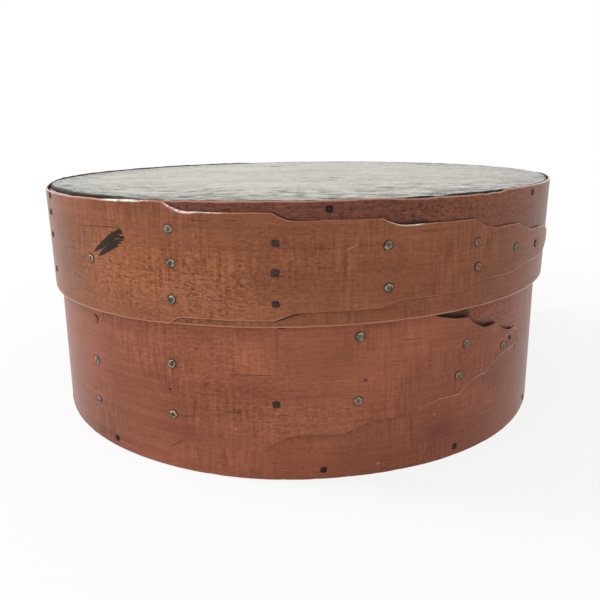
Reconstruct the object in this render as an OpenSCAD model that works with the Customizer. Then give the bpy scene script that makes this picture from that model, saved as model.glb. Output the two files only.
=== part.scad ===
// Round bentwood pantry box with a lift-off lid.
// Each band is one thin strip of wood bent round past a full turn. Its inner end, the heel, lies flat
// under its outer end, a long tongue that narrows in steps to a rounded tip and is tacked down over it.
// Lengths are millimetres. Angles are degrees from the front, positive towards +X, seen from above.
// The origin is the middle of the underside, and +Z is up.

/* [Box] */
// Inside diameter of the box
box_in_d = 226; // [160:0.5:300]
// Height of the whole box with the lid on
box_h = 101.6; // [85:0.1:140]
// Thickness of the box band where it is one layer
band_t = 1.8; // [1.3:0.1:3]
// Thickness of each end of the box band where the ends lap
lap_t = 1.2; // [0.9:0.1:1.8]
// Thickness of the base board
base_t = 6.4; // [5:0.1:10]

/* [Lid] */
// Depth of the lid from its top to its lower edge at the front
lid_depth = 42.8; // [35:0.1:60]
// Thickness of the lid band where it is one layer
lid_band_t = 1.4; // [1.1:0.1:3]
// Thickness of each end of the lid band where the ends lap
lid_lap_t = 0.95; // [0.85:0.05:1.8]
// Thickness of the lid board
lid_board_t = 6.4; // [5:0.1:10]
// How far the lid's lower edge drops at the left and rises at the right
rim_skew = 2; // [0:0.1:3]
// Worn chamfer round the top of the lid board
board_chamfer = 0.8; // [0.2:0.1:1.5]

/* [Box lap] */
// Angle of the hidden inner end of the box band
box_heel = -51; // [-75:0.5:-40]
// Angle of the tongue's tip on the box
box_tip = 51; // [45:0.5:75]
// Height of the middle of the box tongue's tip above the underside
box_tip_up = 41; // [30:0.1:45]
// Half the width of the box tongue just before its tip
box_tip_half = 4; // [3.5:0.1:9]

/* [Lid lap] */
// Angle of the hidden inner end of the lid band
lid_heel = -66; // [-85:0.5:-50]
// Angle of the tongue's tip on the lid
lid_tip = 63; // [50:0.5:80]
// Height of the middle of the lid tongue's tip above the lid's lower edge
lid_tip_up = 19.5; // [15:0.1:24]
// Half the width of the lid tongue just before its tip
lid_tip_half = 6.3; // [4:0.1:9]

/* [Tacks and nails] */
// Diameter of a tack's head
tack_head_d = 3; // [2:0.1:4]
// Height of a tack's head
tack_head_h = 0.3; // [0.2:0.05:0.5]
// Diameter of a tack's shank
tack_shank_d = 1.1; // [0.8:0.1:1.5]
// Length of the clinched point of a tack or nail inside the box
clinch_len = 3; // [2:0.1:5]
// Width of a cut nail's head
nail_w = 2.7; // [2:0.1:4]
// Height of a cut nail's head, up and down the band
nail_tall = 2.3; // [2:0.1:4]
// Depth of a cut nail's head, nearly all of it sunk in the band
nail_head_t = 0.6; // [0.4:0.05:0.7]
// How far a cut nail's head stands out of the band
nail_proud = 0.15; // [0.05:0.05:0.3]
// Side of a cut nail's square shank
nail_shank = 1.2; // [0.8:0.1:1.6]
// Diameter of the small brad's head at the tip of the box tongue
brad_head_d = 1.6; // [1:0.1:2]

/* [Pegs] */
// Side of the square wooden pegs that hold the boards
peg_w = 2.2; // [1.5:0.1:3]
// Length of a peg
peg_len = 14; // [8:0.5:20]
// How far a peg's end is sunk below the band's face
peg_sunk = 0.1; // [0:0.05:0.4]

/* [Clearances] */
// Between the heads of the box tacks and nails and the inside of the lid band
lid_clear = 0.3; // [0.25:0.05:1.5]
// Between the two layers of a lap
ply_gap = 0.1; // [0.05:0.01:0.2]
// Between a board's edge and the inside of its band
board_gap = 0.25; // [0.1:0.05:0.6]
// Between a tack, nail or peg and its hole, on each side
hole_gap = 0.05; // [0.02:0.01:0.1]
// Between a tack's head and the band under it
head_gap = 0.02; // [0.02:0.01:0.05]
// Between a clinched point and the inside of the box band
clinch_gap = 0.08; // [0.06:0.01:0.15]

/* [Hidden] */
$fn = 48;

wood_red = [0.55, 0.33, 0.24];
wood_orange = [0.60, 0.36, 0.24];
board_grey = [0.42, 0.40, 0.36];
base_brown = [0.50, 0.36, 0.24];
peg_brown = [0.16, 0.11, 0.09];
tack_grey = [0.48, 0.47, 0.40];
nail_black = [0.22, 0.19, 0.20];

// Angles between the sections of a band: over its tongue, and over the rest of it
tongue_pitch = 1;
band_pitch = 3;
// Angle over which a band swells from its lap thickness to its full thickness
scarf = 90;
// Angle over which the heel is shaved to a thin edge, and how thin it gets as a share of the lap thickness
heel_shave = 8;
heel_edge = 0.35;
// Angle over which each tongue's tip rounds off, and the share of its width that is left at its very end
box_tip_round = 4;
lid_tip_round = 10;
tip_end = 0.12;
// Height of the pegs in each board, as a share of its thickness
base_peg_up = 0.6;
lid_peg_up = 0.55;
// Width of a tack's head at its top as a share of its diameter
head_crown = 0.72;
// How far a cutter runs past the face that it opens on
past = 2;
// Sides of the round boards
board_fn = 180;

// Steps of a tongue from left to right. Each is [upper edge: angle back from the tip, run, share of its
// narrowing; lower edge: angle back from the tip, run, share of its narrowing].
box_steps = [
    [78, 5, 0.301, 78.5, 4, 0.313],
    [57.5, 5, 0.181, 58, 7, 0.177],
    [43.5, 5, 0.161, 43.3, 6.7, 0.112],
    [30.6, 12, 0.135, 30.1, 6, 0.098],
    [18.8, 6, 0.118, 20, 5.6, 0.144],
    [10, 6.5, 0.104, 13.3, 9, 0.156]];
lid_steps = [
    [86.6, 5, 0.218, 86.4, 3, 0.203],
    [67.6, 3.8, 0.158, 67.6, 5.4, 0.215],
    [50, 4.4, 0.148, 49.9, 4.9, 0.19],
    [32.2, 6.4, 0.242, 34.5, 7, 0.24],
    [19.1, 8, 0.234, 20.1, 5.8, 0.152]];

// Where the three values of each edge start in a step
upper_edge = 0;
lower_edge = 3;

// Angles of the pegs round the boards
base_peg_at = [-66, -39.9, 3.7, 31, 62, 92, 122, 152, 182, 210, 238, 266];
lid_peg_at = [-60.4, 4.4, 49.6, 102, 154, 206, 257];

// A strip is [inside radius at the lap, full thickness, lap thickness, heel angle, tip angle,
// underside, top, skew of the underside, height of the tip's middle, half its width, steps, tip rounding].
function in_r(s) = s[0];
function full_t(s) = s[1];
function lapped_t(s) = s[2];
function heel(s) = s[3];
function tip(s) = s[4];
function low_z(s) = s[5];
function top_z(s) = s[6];
function skew(s) = s[7];
function tip_z(s) = s[8];
function tip_half(s) = s[9];
function steps(s) = s[10];
function tip_round(s) = s[11];
function lap_thickness(s) = 2 * lapped_t(s) + ply_gap;

lid_rim_z = box_h - lid_depth;
box_rim_z = box_h - lid_board_t;
BOX = [box_in_d / 2, band_t, lap_t, box_heel, box_tip, 0, box_rim_z, 0, box_tip_up, box_tip_half, box_steps,
    box_tip_round];

// The lid goes over the heads on the box's lap, and over the widest place of its band
box_heads_r = in_r(BOX) + lap_thickness(BOX) + max(head_gap + tack_head_h, nail_proud);
box_widest_r = max([for (a = stations(BOX)) strip_r(BOX, a) + strip_t(BOX, a)]);
lid_in_r = max(box_heads_r, box_widest_r) + lid_clear;
LID = [lid_in_r, lid_band_t, lid_lap_t, lid_heel, lid_tip, lid_rim_z, box_h, rim_skew, lid_rim_z + lid_tip_up,
    lid_tip_half, lid_steps, lid_tip_round];

// Eases from 0 to 1: soft at both ends, or leaving at a corner and arriving softly
function unit(u) = min(max(u, 0), 1);
function soft(u) = unit(u) * unit(u) * (3 - 2 * unit(u));
function scoop(u) = 1 - (1 - unit(u)) * (1 - unit(u));
function sum(v, i = 0) = i < len(v) ? v[i] + sum(v, i + 1) : 0;

function at(r, a, z) = [r * sin(a), -r * cos(a), z];

// Places of the fasteners of the laps, by column, as [angle, share of the way up the tongue at that angle].
// The hidden end's fasteners are set out from the heel, and the tongue's own from its tip.
function from_heel(s, places) = [for (p = places) [heel(s) + p[0], p[1]]];
function from_tip(s, places) = [for (p = places) [tip(s) - p[0], p[1]]];
box_heel_at = from_heel(BOX, [[5.2, 0.18], [5.8, 0.364], [6.5, 0.551], [5.9, 0.74], [5.4, 0.91]]);
box_first_at = from_tip(BOX, [[75.4, 0.153], [75.1, 0.431], [75.6, 0.7]]);
box_second_at = from_tip(BOX, [[55.6, 0.248], [54.6, 0.76]]);
box_third_at = from_tip(BOX, [[41.2, 0.227], [41, 0.762]]);
box_fifth_at = from_tip(BOX, [[20.6, 0.264], [19, 0.639]]);
box_tip_tack_at = from_tip(BOX, [[7.3, 0.315]]);
box_tip_brad_at = from_tip(BOX, [[4.5, 0.589]]);
lid_heel_nail_at = from_heel(LID, [[3.7, 0.23], [3.8, 0.575], [4.3, 0.8]]);
lid_heel_tack_at = from_heel(LID, [[24.4, 0.48]]);
lid_first_at = from_tip(LID, [[85.5, 0.192], [85.2, 0.509], [85.3, 0.801]]);
lid_second_at = from_tip(LID, [[67.3, 0.162], [67.3, 0.46], [67.2, 0.74]]);
lid_third_at = from_tip(LID, [[48.7, 0.221], [49, 0.727]]);
lid_fourth_at = from_tip(LID, [[30.7, 0.268], [31.2, 0.674]]);
lid_tip_at = from_tip(LID, [[19.6, 0.491], [10, 0.49]]);

// Along a strip, a runs from its heel once round to heel + 360 and on to its tip at tip + 360.
// The strip climbs by one lap on its way round the back, and is thinner where it laps.
function strip_r(s, a) =
    in_r(s) + (lapped_t(s) + ply_gap) * soft((a - tip(s)) / (360 + heel(s) - tip(s)));
function strip_t(s, a) =
    let (swell = min(soft((a - tip(s)) / scarf), soft((360 + heel(s) - a) / scarf)),
        shave = heel_edge + (1 - heel_edge) * soft((a - heel(s)) / heel_shave))
    (lapped_t(s) + (full_t(s) - lapped_t(s)) * swell) * shave;

// Edges of the strip. Over its tongue they close in, step by step, on the tip's width and then round it off.
function under(s, a) = low_z(s) + skew(s) * sin(a);
function narrowing(s, a, edge) =
    sum([for (p = steps(s)) p[edge + 2] * scoop((a - 360 - tip(s) + p[edge]) / p[edge + 1])]);
function tip_left(s, a) =
    let (u = unit((a - 360 - tip(s) + tip_round(s)) / tip_round(s))) tip_end + (1 - tip_end) * sqrt(1 - u * u);
function strip_top(s, a) =
    let (z = top_z(s) + (tip_z(s) + tip_half(s) - top_z(s)) * narrowing(s, a, upper_edge))
    tip_z(s) + (z - tip_z(s)) * tip_left(s, a);
function strip_low(s, a) =
    let (z = under(s, a) + (tip_z(s) - tip_half(s) - under(s, a)) * narrowing(s, a, lower_edge))
    tip_z(s) + (z - tip_z(s)) * tip_left(s, a);

// Outer face of a band at one angle and height: its tongue where that covers the place, or the layer under it
function on_tongue(s, a, z) = a <= tip(s) && z > strip_low(s, a + 360) && z < strip_top(s, a + 360);
function face_r(s, a, z) =
    let (b = a < heel(s) || on_tongue(s, a, z) ? a + 360 : a) strip_r(s, b) + strip_t(s, b);

function ring(s, a) =
    let (r = strip_r(s, a), t = strip_t(s, a), low = strip_low(s, a), top = strip_top(s, a))
    [at(r, a, low), at(r + t, a, low), at(r + t, a, top), at(r, a, top)];
function stations(s) = concat(
    [for (a = [heel(s) : band_pitch : 360 + heel(s) - band_pitch]) a],
    [for (a = [360 + heel(s) : tongue_pitch : 360 + tip(s)]) a]);

// One bent strip, swept through its sections from heel to tip
module strip(s) {
    rings = [for (a = stations(s)) ring(s, a)];
    n = len(rings[0]);
    last = n * (len(rings) - 1);
    sides = [for (k = [0 : len(rings) - 2], j = [0 : n - 1])
        let (p = k * n + j, q = k * n + (j + 1) % n) each [[p, p + n, q], [q, p + n, q + n]]];
    ends = [[0, 1, 2], [0, 2, 3], [last, last + 2, last + 1], [last, last + 3, last + 2]];
    polyhedron([for (r = rings) each r], concat(sides, ends));
}

// Puts its children on a face: their +Z points out of the band and their +Y up
module on_face(r, a, z) { translate(at(r, a, z)) rotate([90, 0, a]) children(); }

// Puts its children on the tongue of a strip, at each [angle, share of the way up]
module on_lap(s, places) {
    for (p = places) {
        low = strip_low(s, p[0] + 360);
        z = low + (strip_top(s, p[0] + 360) - low) * p[1];
        on_face(in_r(s) + lap_thickness(s), p[0], z) children();
    }
}

// Point bent over and hammered down on the inside of the box
module clinch(depth, d) {
    translate([0, 0, -depth - d / 2 - clinch_gap]) {
        rotate([90, 0, 0]) cylinder(h = clinch_len, d1 = d, d2 = d / 3);
        sphere(d = d);
    }
}

module tack(depth, head_d = tack_head_d, clinched = false) {
    translate([0, 0, head_gap]) cylinder(h = tack_head_h, d1 = head_d, d2 = head_d * head_crown);
    reach = clinched ? depth + tack_shank_d / 2 + clinch_gap : depth - head_gap;
    translate([0, 0, -reach]) cylinder(h = reach + head_gap + tack_head_h / 2, d = tack_shank_d);
    if (clinched) clinch(depth, tack_shank_d);
}

module tack_hole(depth) {
    translate([0, 0, -depth - past]) cylinder(h = depth + 2 * past, d = tack_shank_d + 2 * hole_gap);
}

module block(x, y, z0, z1) { translate([-x / 2, -y / 2, z0]) cube([x, y, z1 - z0]); }

module nail(depth, clinched = false) {
    block(nail_w, nail_tall, nail_proud - nail_head_t, nail_proud);
    block(nail_shank, nail_shank, -depth - (clinched ? nail_shank + clinch_gap : -head_gap), 0);
    if (clinched) translate([0, (nail_shank - clinch_len) / 2, 0])
        block(nail_shank, clinch_len, -depth - nail_shank - clinch_gap, -depth - clinch_gap);
}

module nail_hole(depth) {
    block(nail_w + 2 * hole_gap, nail_tall + 2 * hole_gap, nail_proud - nail_head_t - hole_gap, past);
    block(nail_shank + 2 * hole_gap, nail_shank + 2 * hole_gap, -depth - past, past);
}

// Square pegs driven through a band into the edge of its board, or their holes where grow is not 0
module pegs(s, angles, z, grow = 0) {
    for (a = angles)
        on_face(face_r(s, a, z), a, z)
            block(peg_w + 2 * grow, peg_w + 2 * grow, -peg_sunk - peg_len - grow, grow > 0 ? past : -peg_sunk);
}

module box_tack_holes() {
    for (places = [box_heel_at, box_first_at, box_third_at, box_fifth_at, box_tip_tack_at, box_tip_brad_at])
        on_lap(BOX, places) tack_hole(lap_thickness(BOX));
    on_lap(BOX, box_second_at) nail_hole(lap_thickness(BOX));
}

module lid_tack_holes() {
    for (places = [lid_heel_tack_at, lid_first_at, lid_third_at, lid_fourth_at, lid_tip_at])
        on_lap(LID, places) tack_hole(lap_thickness(LID));
    for (places = [lid_heel_nail_at, lid_second_at])
        on_lap(LID, places) nail_hole(lap_thickness(LID));
}

module base_peg_set(grow = 0) { pegs(BOX, base_peg_at, base_t * base_peg_up, grow); }
module lid_peg_set(grow = 0) { pegs(LID, lid_peg_at, box_rim_z + lid_board_t * lid_peg_up, grow); }

module box_band() {
    color(wood_red) difference() {
        strip(BOX);
        box_tack_holes();
        base_peg_set(hole_gap);
    }
}

module base_board() {
    color(base_brown) difference() {
        cylinder(h = base_t, r = in_r(BOX) - board_gap, $fn = board_fn);
        base_peg_set(hole_gap);
    }
}

module base_pegs() { color(peg_brown) base_peg_set(); }

module box_tacks(places, head_d = tack_head_d) {
    color(tack_grey) on_lap(BOX, places) tack(lap_thickness(BOX), head_d, clinched = true);
}

module box_nails(places) { color(nail_black) on_lap(BOX, places) nail(lap_thickness(BOX), clinched = true); }

module lid_band() {
    color(wood_orange) difference() {
        strip(LID);
        lid_tack_holes();
        lid_peg_set(hole_gap);
    }
}

module lid_board() {
    r = in_r(LID) - board_gap;
    color(board_grey) difference() {
        union() {
            translate([0, 0, box_rim_z]) cylinder(h = lid_board_t - board_chamfer, r = r, $fn = board_fn);
            translate([0, 0, box_h - board_chamfer])
                cylinder(h = board_chamfer, r1 = r, r2 = r - board_chamfer, $fn = board_fn);
        }
        lid_peg_set(hole_gap);
    }
}

module lid_board_pegs() { color(peg_brown) lid_peg_set(); }

module lid_tacks(places) { color(tack_grey) on_lap(LID, places) tack(lap_thickness(LID)); }
module lid_nails(places) { color(nail_black) on_lap(LID, places) nail(lap_thickness(LID)); }

box_band();
base_board();
base_pegs();
box_tacks(box_heel_at);  // box_heel_tacks
box_tacks(box_first_at);  // box_first_step_tacks
box_nails(box_second_at);  // box_second_step_nails
box_tacks(box_third_at);  // box_third_step_tacks
box_tacks(box_fifth_at);  // box_fifth_step_tacks
box_tacks(box_tip_tack_at);  // box_tip_tack
box_tacks(box_tip_brad_at, brad_head_d);  // box_tip_brad
lid_band();
lid_board();
lid_board_pegs();
lid_nails(lid_heel_nail_at);  // lid_heel_nails
lid_tacks(lid_heel_tack_at);  // lid_heel_tack
lid_tacks(lid_first_at);  // lid_first_step_tacks
lid_nails(lid_second_at);  // lid_second_step_nails
lid_tacks(lid_third_at);  // lid_third_step_tacks
lid_tacks(lid_fourth_at);  // lid_fourth_step_tacks
lid_tacks(lid_tip_at);  // lid_tip_tacks
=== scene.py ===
"""Round bentwood pantry box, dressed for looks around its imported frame.

Inside the shape functions lengths are millimetres, and angles are degrees from the front, positive
towards +X.
"""

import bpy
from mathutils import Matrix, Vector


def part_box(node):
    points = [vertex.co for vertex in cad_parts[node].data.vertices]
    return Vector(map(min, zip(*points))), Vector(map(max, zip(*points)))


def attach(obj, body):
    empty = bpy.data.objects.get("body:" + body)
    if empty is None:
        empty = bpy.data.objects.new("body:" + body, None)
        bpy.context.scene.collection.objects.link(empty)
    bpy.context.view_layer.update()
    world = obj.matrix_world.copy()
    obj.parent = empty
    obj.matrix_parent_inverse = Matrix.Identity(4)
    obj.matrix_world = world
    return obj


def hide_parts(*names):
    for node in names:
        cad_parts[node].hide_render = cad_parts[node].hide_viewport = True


bl_info = {
    "name": "Round bentwood pantry box",
    "version": (1, 0, 0),
    "blender": (4, 5, 0),
    "location": "3D View > Sidebar > Pantry box",
    "description": "Worn bent bands, weathered boards, tacks, nails and pegs of a round pantry box",
    "category": "Add Mesh",
}

from collections import namedtuple

import bpy
import numpy as np
from bpy.props import FloatProperty, FloatVectorProperty, PointerProperty
from mathutils import Matrix

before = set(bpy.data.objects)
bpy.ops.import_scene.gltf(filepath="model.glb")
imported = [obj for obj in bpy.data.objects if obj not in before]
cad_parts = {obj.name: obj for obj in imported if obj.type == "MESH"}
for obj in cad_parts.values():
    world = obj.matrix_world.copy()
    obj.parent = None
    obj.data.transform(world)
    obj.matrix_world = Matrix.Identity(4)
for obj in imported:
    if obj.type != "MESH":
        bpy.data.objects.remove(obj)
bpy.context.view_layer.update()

MM = 1000.0
TURN = 360.0

# Widening of the box's foot, and the height that it starts from
FOOT_FLARE, FLARE_FROM = 1.04, 58.0
# Strip of an edge that a crease takes up, and the distance that stands for nowhere near
LIP, FAR_OFF = 0.6, 40.0
# Share of the narrowing past which an edge belongs to the tongue, no longer to the rim or the foot
ON_TONGUE = 0.05
# Unevenness of a tongue's cut edges, and depth of the nicks along a foot
EDGE_WANDER, FOOT_NICKS = 0.1, 0.16
# Radius of the base board's upper edge, and how far below the lid's edge a dark line of soiling and
# painted shadow lies on the box
BASE_ROUND, SHADOW_LINE_BELOW = 0.5, 1.2
# Points round a tip, and the least step between two angles along a strip
TIP_POINTS, LEAST_STEP = 24, 0.06

# Steps of a tongue from left to right. Each is upper edge, then lower edge: angle back from the tip, angle
# that the step runs over, and its share of the narrowing.
BOX_STEPS = np.array([
    (78, 5, 0.301, 78.5, 4, 0.313),
    (57.5, 5, 0.181, 58, 7, 0.177),
    (43.5, 5, 0.161, 43.3, 6.7, 0.112),
    (30.6, 12, 0.135, 30.1, 6, 0.098),
    (18.8, 6, 0.118, 20, 5.6, 0.144),
    (10, 6.5, 0.104, 13.3, 9, 0.156),
])
LID_STEPS = np.array([
    (86.6, 5, 0.218, 86.4, 3, 0.203),
    (67.6, 3.8, 0.158, 67.6, 5.4, 0.215),
    (50, 4.4, 0.148, 49.9, 4.9, 0.19),
    (32.2, 6.4, 0.242, 34.5, 7, 0.24),
    (19.1, 8, 0.234, 20.1, 5.8, 0.152),
])
UPPER, LOWER = 0, 3

# Columns of fasteners: node, end of the strip that the angles are counted from, and for each one the angle
# from that end and the share of the way up the tongue.
BOX_TACKS = (
    ("box_heel_tacks", "heel", ((5.2, 0.18), (5.8, 0.364), (6.5, 0.551), (5.9, 0.74), (5.4, 0.91))),
    ("box_first_step_tacks", "tip", ((75.4, 0.153), (75.1, 0.431), (75.6, 0.7))),
    ("box_third_step_tacks", "tip", ((41.2, 0.227), (41, 0.762))),
    ("box_fifth_step_tacks", "tip", ((20.6, 0.264), (19, 0.639))),
    ("box_tip_tack", "tip", ((7.3, 0.315),)),
)
BOX_NAILS = (("box_second_step_nails", "tip", ((55.6, 0.248), (54.6, 0.76))),)
BOX_BRADS = (("box_tip_brad", "tip", ((4.5, 0.589),)),)
LID_TACKS = (
    ("lid_heel_tack", "heel", ((24.4, 0.48),)),
    ("lid_first_step_tacks", "tip", ((85.5, 0.192), (85.2, 0.509), (85.3, 0.801))),
    ("lid_third_step_tacks", "tip", ((48.7, 0.221), (49, 0.727))),
    ("lid_fourth_step_tacks", "tip", ((30.7, 0.268), (31.2, 0.674))),
    ("lid_tip_tacks", "tip", ((19.6, 0.491), (10, 0.49))),
)
LID_NAILS = (
    ("lid_heel_nails", "heel", ((3.7, 0.23), (3.8, 0.575), (4.3, 0.8))),
    ("lid_second_step_nails", "tip", ((67.3, 0.162), (67.3, 0.46), (67.2, 0.74))),
)
# How dull a column of tacks is, and how far stain has reddened it, all of it or each tack
TACK_TONES = {
    "box_heel_tacks": (0.35, (0, 0, 0.75, 0.2, 0)),
    "box_third_step_tacks": (0.15, (0.3, 0)),
    "box_fifth_step_tacks": (0.6, 0.15),
    "box_tip_tack": (0.5, 0.1),
    "lid_first_step_tacks": (0.15, 0),
    "lid_third_step_tacks": (0.15, (0, 0.15)),
    "lid_fourth_step_tacks": (0.45, 0.55),
    "lid_tip_tacks": (0.85, 0),
}
# Angles of the pegs, and their share of the way up a board's edge
BASE_PEGS_AT = (-66, -39.9, 3.7, 31, 62, 92, 122, 152, 182, 210, 238, 266)
LID_PEGS_AT = (-60.4, 4.4, 49.6, 102, 154, 206, 257)
PEGS_UP = {"base_board": 0.6, "lid_board": 0.55}

# Marks on the outside of a band: angle, height, half length, half width, tilt, and tone, which is dark
# below 0 and pale above
BOX_MARKS = np.array([
    (-8.8, 40.8, 7.2, 0.13, 1, -0.65), (-21, 22.5, 4.2, 0.14, 9, -0.7), (-12.7, 26.2, 3, 0.13, 5, -0.65),
    (-24, 10.2, 3.2, 0.3, 32, -0.6), (-24.8, 32, 0.9, 0.4, 0, -0.8), (11, 38.2, 0.9, 0.4, 20, -0.8),
    (-12.1, 19.7, 0.6, 0.4, 0, 0.8), (14, 4.2, 0.7, 0.4, 0, 0.8), (25.6, 19.8, 0.6, 0.4, 0, 0.9),
    (51, 34.8, 1.3, 0.6, 60, -0.8), (-44.3, 3.4, 2.4, 0.3, 10, -0.8), (-38, 3, 4.5, 0.2, 0, 0.6),
    (-23.6, 49, 8, 0.2, 90, -0.38), (-4.4, 50, 7.5, 0.2, 90, -0.36), (9.9, 41, 8, 0.1, 90, -0.3),
    (20, 51.5, 5, 0.12, -4, -0.6), (17, 44, 4, 0.12, -3, -0.5), (3, 53, 5, 0.12, 3, -0.4),
    (130, 40, 9, 0.2, 2, -0.9), (171, 22, 5, 0.3, -4, -0.8), (214, 52, 7, 0.2, 1, -0.9),
    (255, 30, 0.9, 0.6, 0, 1), (98, 18, 4, 0.25, -20, 0.9), (190, 33, 0.8, 0.6, 0, -0.8),
])
LID_MARKS = np.array([
    (-38.7, 90.6, 9.8, 0.14, 3, -0.9), (-49.6, 80.1, 8, 0.14, 4, -0.9), (-16.8, 95, 3.6, 0.14, 0, -0.8),
    (-11.2, 95.2, 2.2, 0.14, 0, -0.8), (7.9, 86.1, 2.1, 0.2, 24, 0.9), (34.6, 86.6, 1.6, 0.2, 90, 0.7),
    (-46, 69.5, 4, 0.12, 4, -0.5), (21, 90.2, 4, 0.14, -5, -0.6),
    (110, 84, 8, 0.2, 1, -0.9), (150, 72, 4, 0.3, -14, 0.9), (184, 90, 6, 0.22, 0, -0.9),
    (226, 79, 3, 0.3, 12, 0.8), (262, 88, 7, 0.2, 2, -0.9),
])
# Broad changes: angle, height, half angle, half height, strength. Patches are oranger above 0 and purpler
# below. In a figure the finish has crumbled into fine flecks.
BOX_PATCHES = np.array([
    (-8.7, 46.5, 4.2, 6.5, 0.42), (-21, 15.5, 3, 8, -0.45), (27, 13, 4.5, 12, -0.5), (-48, 35, 12, 25, -0.2),
    (8, 38, 12, 15, 0.15), (-18, 40, 5, 12, 0.3), (-2, 6, 24, 12, 0.22), (-16, 30, 9, 22, 0.12),
    (120, 30, 20, 15, 0.3), (200, 45, 18, 12, -0.4), (280, 20, 20, 12, 0.3),
])
LID_PATCHES = np.array([
    (-35, 78, 13, 16, 0.6), (-12, 82, 12, 14, 0.4), (5, 72, 12, 14, -0.25), (36, 80, 13, 18, -0.2),
    (120, 82, 22, 10, 0.35), (190, 74, 18, 12, -0.35), (250, 88, 20, 8, 0.3),
])
BOX_FIGURE = np.array([
    (-20, 45, 14, 14, 0.45), (-2, 25, 14, 10, 0.5), (150, 40, 30, 20, 0.5), (240, 30, 26, 18, 0.5),
])
LID_FIGURE = np.array([
    (-16, 69, 9, 11, 1.0), (-34, 74, 14, 14, 0.7), (0, 80, 20, 16, 0.25), (180, 76, 40, 14, 0.6),
])
# Two leaves of a charcoal stain on the lid: angle and height of the foot and of the head, half width, and how
# sharply the leaf swells and falls off
STAIN_LEAVES = ((-40.9, 80.4, -32.4, 90.1, 1.6, 0.9, 0.3), (-39.3, 79.4, -31.8, 88.05, 1.45, 0.8, 0.45))
# Where an edge of a band is rubbed and given a painted highlight: which edge, middle angle, half angle,
# strength, and extra width
BOX_GLINT_RUBS = ((LOWER, 26, 8, 0.1, 0.1), (LOWER, 36, 9, 0.16, 0.2), (LOWER, 46, 7, 0.28, 0.3))
LID_GLINT_RUBS = (
    (UPPER, -32.5, 6, 1.0, 0.2), (UPPER, -20.4, 3.6, 1.0, 0.5), (UPPER, -15.5, 4, 0.8, 0.15),
    (UPPER, 17, 5, 0.7, 0), (UPPER, 20, 3, 0.5, 0), (LOWER, -15, 11, 0.05, 0.2),
)
# A rub with a painted highlight that has its middle right of this angle is on the tongue alone
TONGUE_RUBS_FROM = -24
# Where an edge of a tongue has sprung away: middle angle, half angle, lift of upper edge, lift of lower edge
BOX_LIFTS = np.array([(28, 5.6, 0.85, 0), (37.4, 4.4, 0.6, 0), (45.2, 3.3, 0.45, 0.1), (38, 9, 0, 0.3)])
LID_LIFTS = np.array([(17.5, 6, 0.5, 0), (-2, 4, 0.1, 0.26), (29, 7, 0.2, 0), (40, 6, 0.15, 0.25)])

# Knots of the lid board: x, y and size. Slivers torn out of its skin, sunk a little and painted dark as
# their shade: x, y and half length.
KNOTS = ((3.3, -23.9, 4.0), (16.7, -23.6, 5.0), (14.7, -40, 3.5))
TEARS = ((-6.1, -83.6, 2.0), (-22.5, -76.8, 1.4), (-32.6, -88.3, 1.4), (33.2, -75.8, 3.0), (-11.7, 67.1, 3.0))

# Studio, in metres: half width of the floor, points along its side and how far it lies below the box
FLOOR_HALF, FLOOR_POINTS, FLOOR_DROP = 3, 9, 0.0002
SURROUND_LIGHT = 0.62
# Lamps: name, power, side and place. All face the point that follows.
LAMPS = (
    ("key_above", 8.0, 0.3, (-0.9, 0.08, 0.95)),
    ("fill_left", 3.7, 0.9, (-0.8, -1.0, 0.56)),
    ("fill_right", 1.9, 1.0, (1.0, -0.8, 0.56)),
)
LAMPS_FACE = (0, 0, 0.05)
# Camera: its right, up and back directions, and its place
CAMERA_STAND = (
    (0.99980, 0.01155, -0.01628), (0.01251, 0.27319, 0.96188), (0.01556, -0.96190, 0.27299),
    (-0.00447, -0.31701, 0.12426),
)
SENSOR_WIDTH, LENS, NEAR_CLIP = 36.0, 37.363, 0.01
SHIFT_X, SHIFT_Y = 0.0349, 0.0063


def unit(u):
    """u held between 0 and 1."""
    return np.clip(u, 0.0, 1.0)


def soft(u):
    """Ease from 0 to 1 that is level at both ends, 3u² - 2u³."""
    u = unit(u)
    return u * u * (3 - 2 * u)


def near(angle, middle, half):
    """1 about a middle angle, easing to 0 at a half angle away from it."""
    return soft(1.4 * (1 - np.abs(angle - middle) / half))


def scoop(u):
    """Ease from 0 to 1 that leaves at a corner and arrives level, 1 - (1 - u)²."""
    return 1 - (1 - unit(u)) ** 2


LATTICE_SIDE, LATTICE_SEED = 256, 1840
LATTICE = np.random.default_rng(LATTICE_SEED).uniform(-1, 1, (LATTICE_SIDE, LATTICE_SIDE))


def relief(x, y, octaves=3):
    """Smooth random relief from about -1 to 1: seeded heights on a unit lattice, eased between by 3t² - 2t³,
    with each octave at half the pitch and half the height of the last, and moved aside."""
    total, height = 0.0, 1.0
    for _ in range(octaves):
        i, j = np.floor(x).astype(int), np.floor(y).astype(int)
        s, t = soft(x - i), soft(y - j)
        here, right = i % LATTICE_SIDE, (i + 1) % LATTICE_SIDE
        row, next_row = j % LATTICE_SIDE, (j + 1) % LATTICE_SIDE
        low = LATTICE[here, row] * (1 - s) + LATTICE[right, row] * s
        high = LATTICE[here, next_row] * (1 - s) + LATTICE[right, next_row] * s
        total = total + height * (low * (1 - t) + high * t)
        x, y, height = 2 * x + 17.3, 2 * y + 5.9, height / 2
    return total


def along_line(a, lane, octaves=3):
    """Relief read along one line of the lattice, for wear that changes with an angle alone."""
    return relief(a, a * 0 + lane, octaves)


def hand_bent(angle):
    """How far a band or board falls inside a true circle, never outside it: two slow waves round the box."""
    t = np.radians(angle)
    return -0.06 * (1 + np.sin(2 * t + 0.7)) - 0.05 * (1 + np.sin(3 * t + 2.0))


def place(r, angle, z):
    """Points at a radius, an angle from the front and a height."""
    t = np.radians(angle)
    return np.stack(np.broadcast_arrays(r * np.sin(t), -r * np.cos(t), z), axis=-1)


def round_angle(angle):
    """The same angle between -180 and 180."""
    return (np.asarray(angle, float) + 180) % TURN - 180


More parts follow.
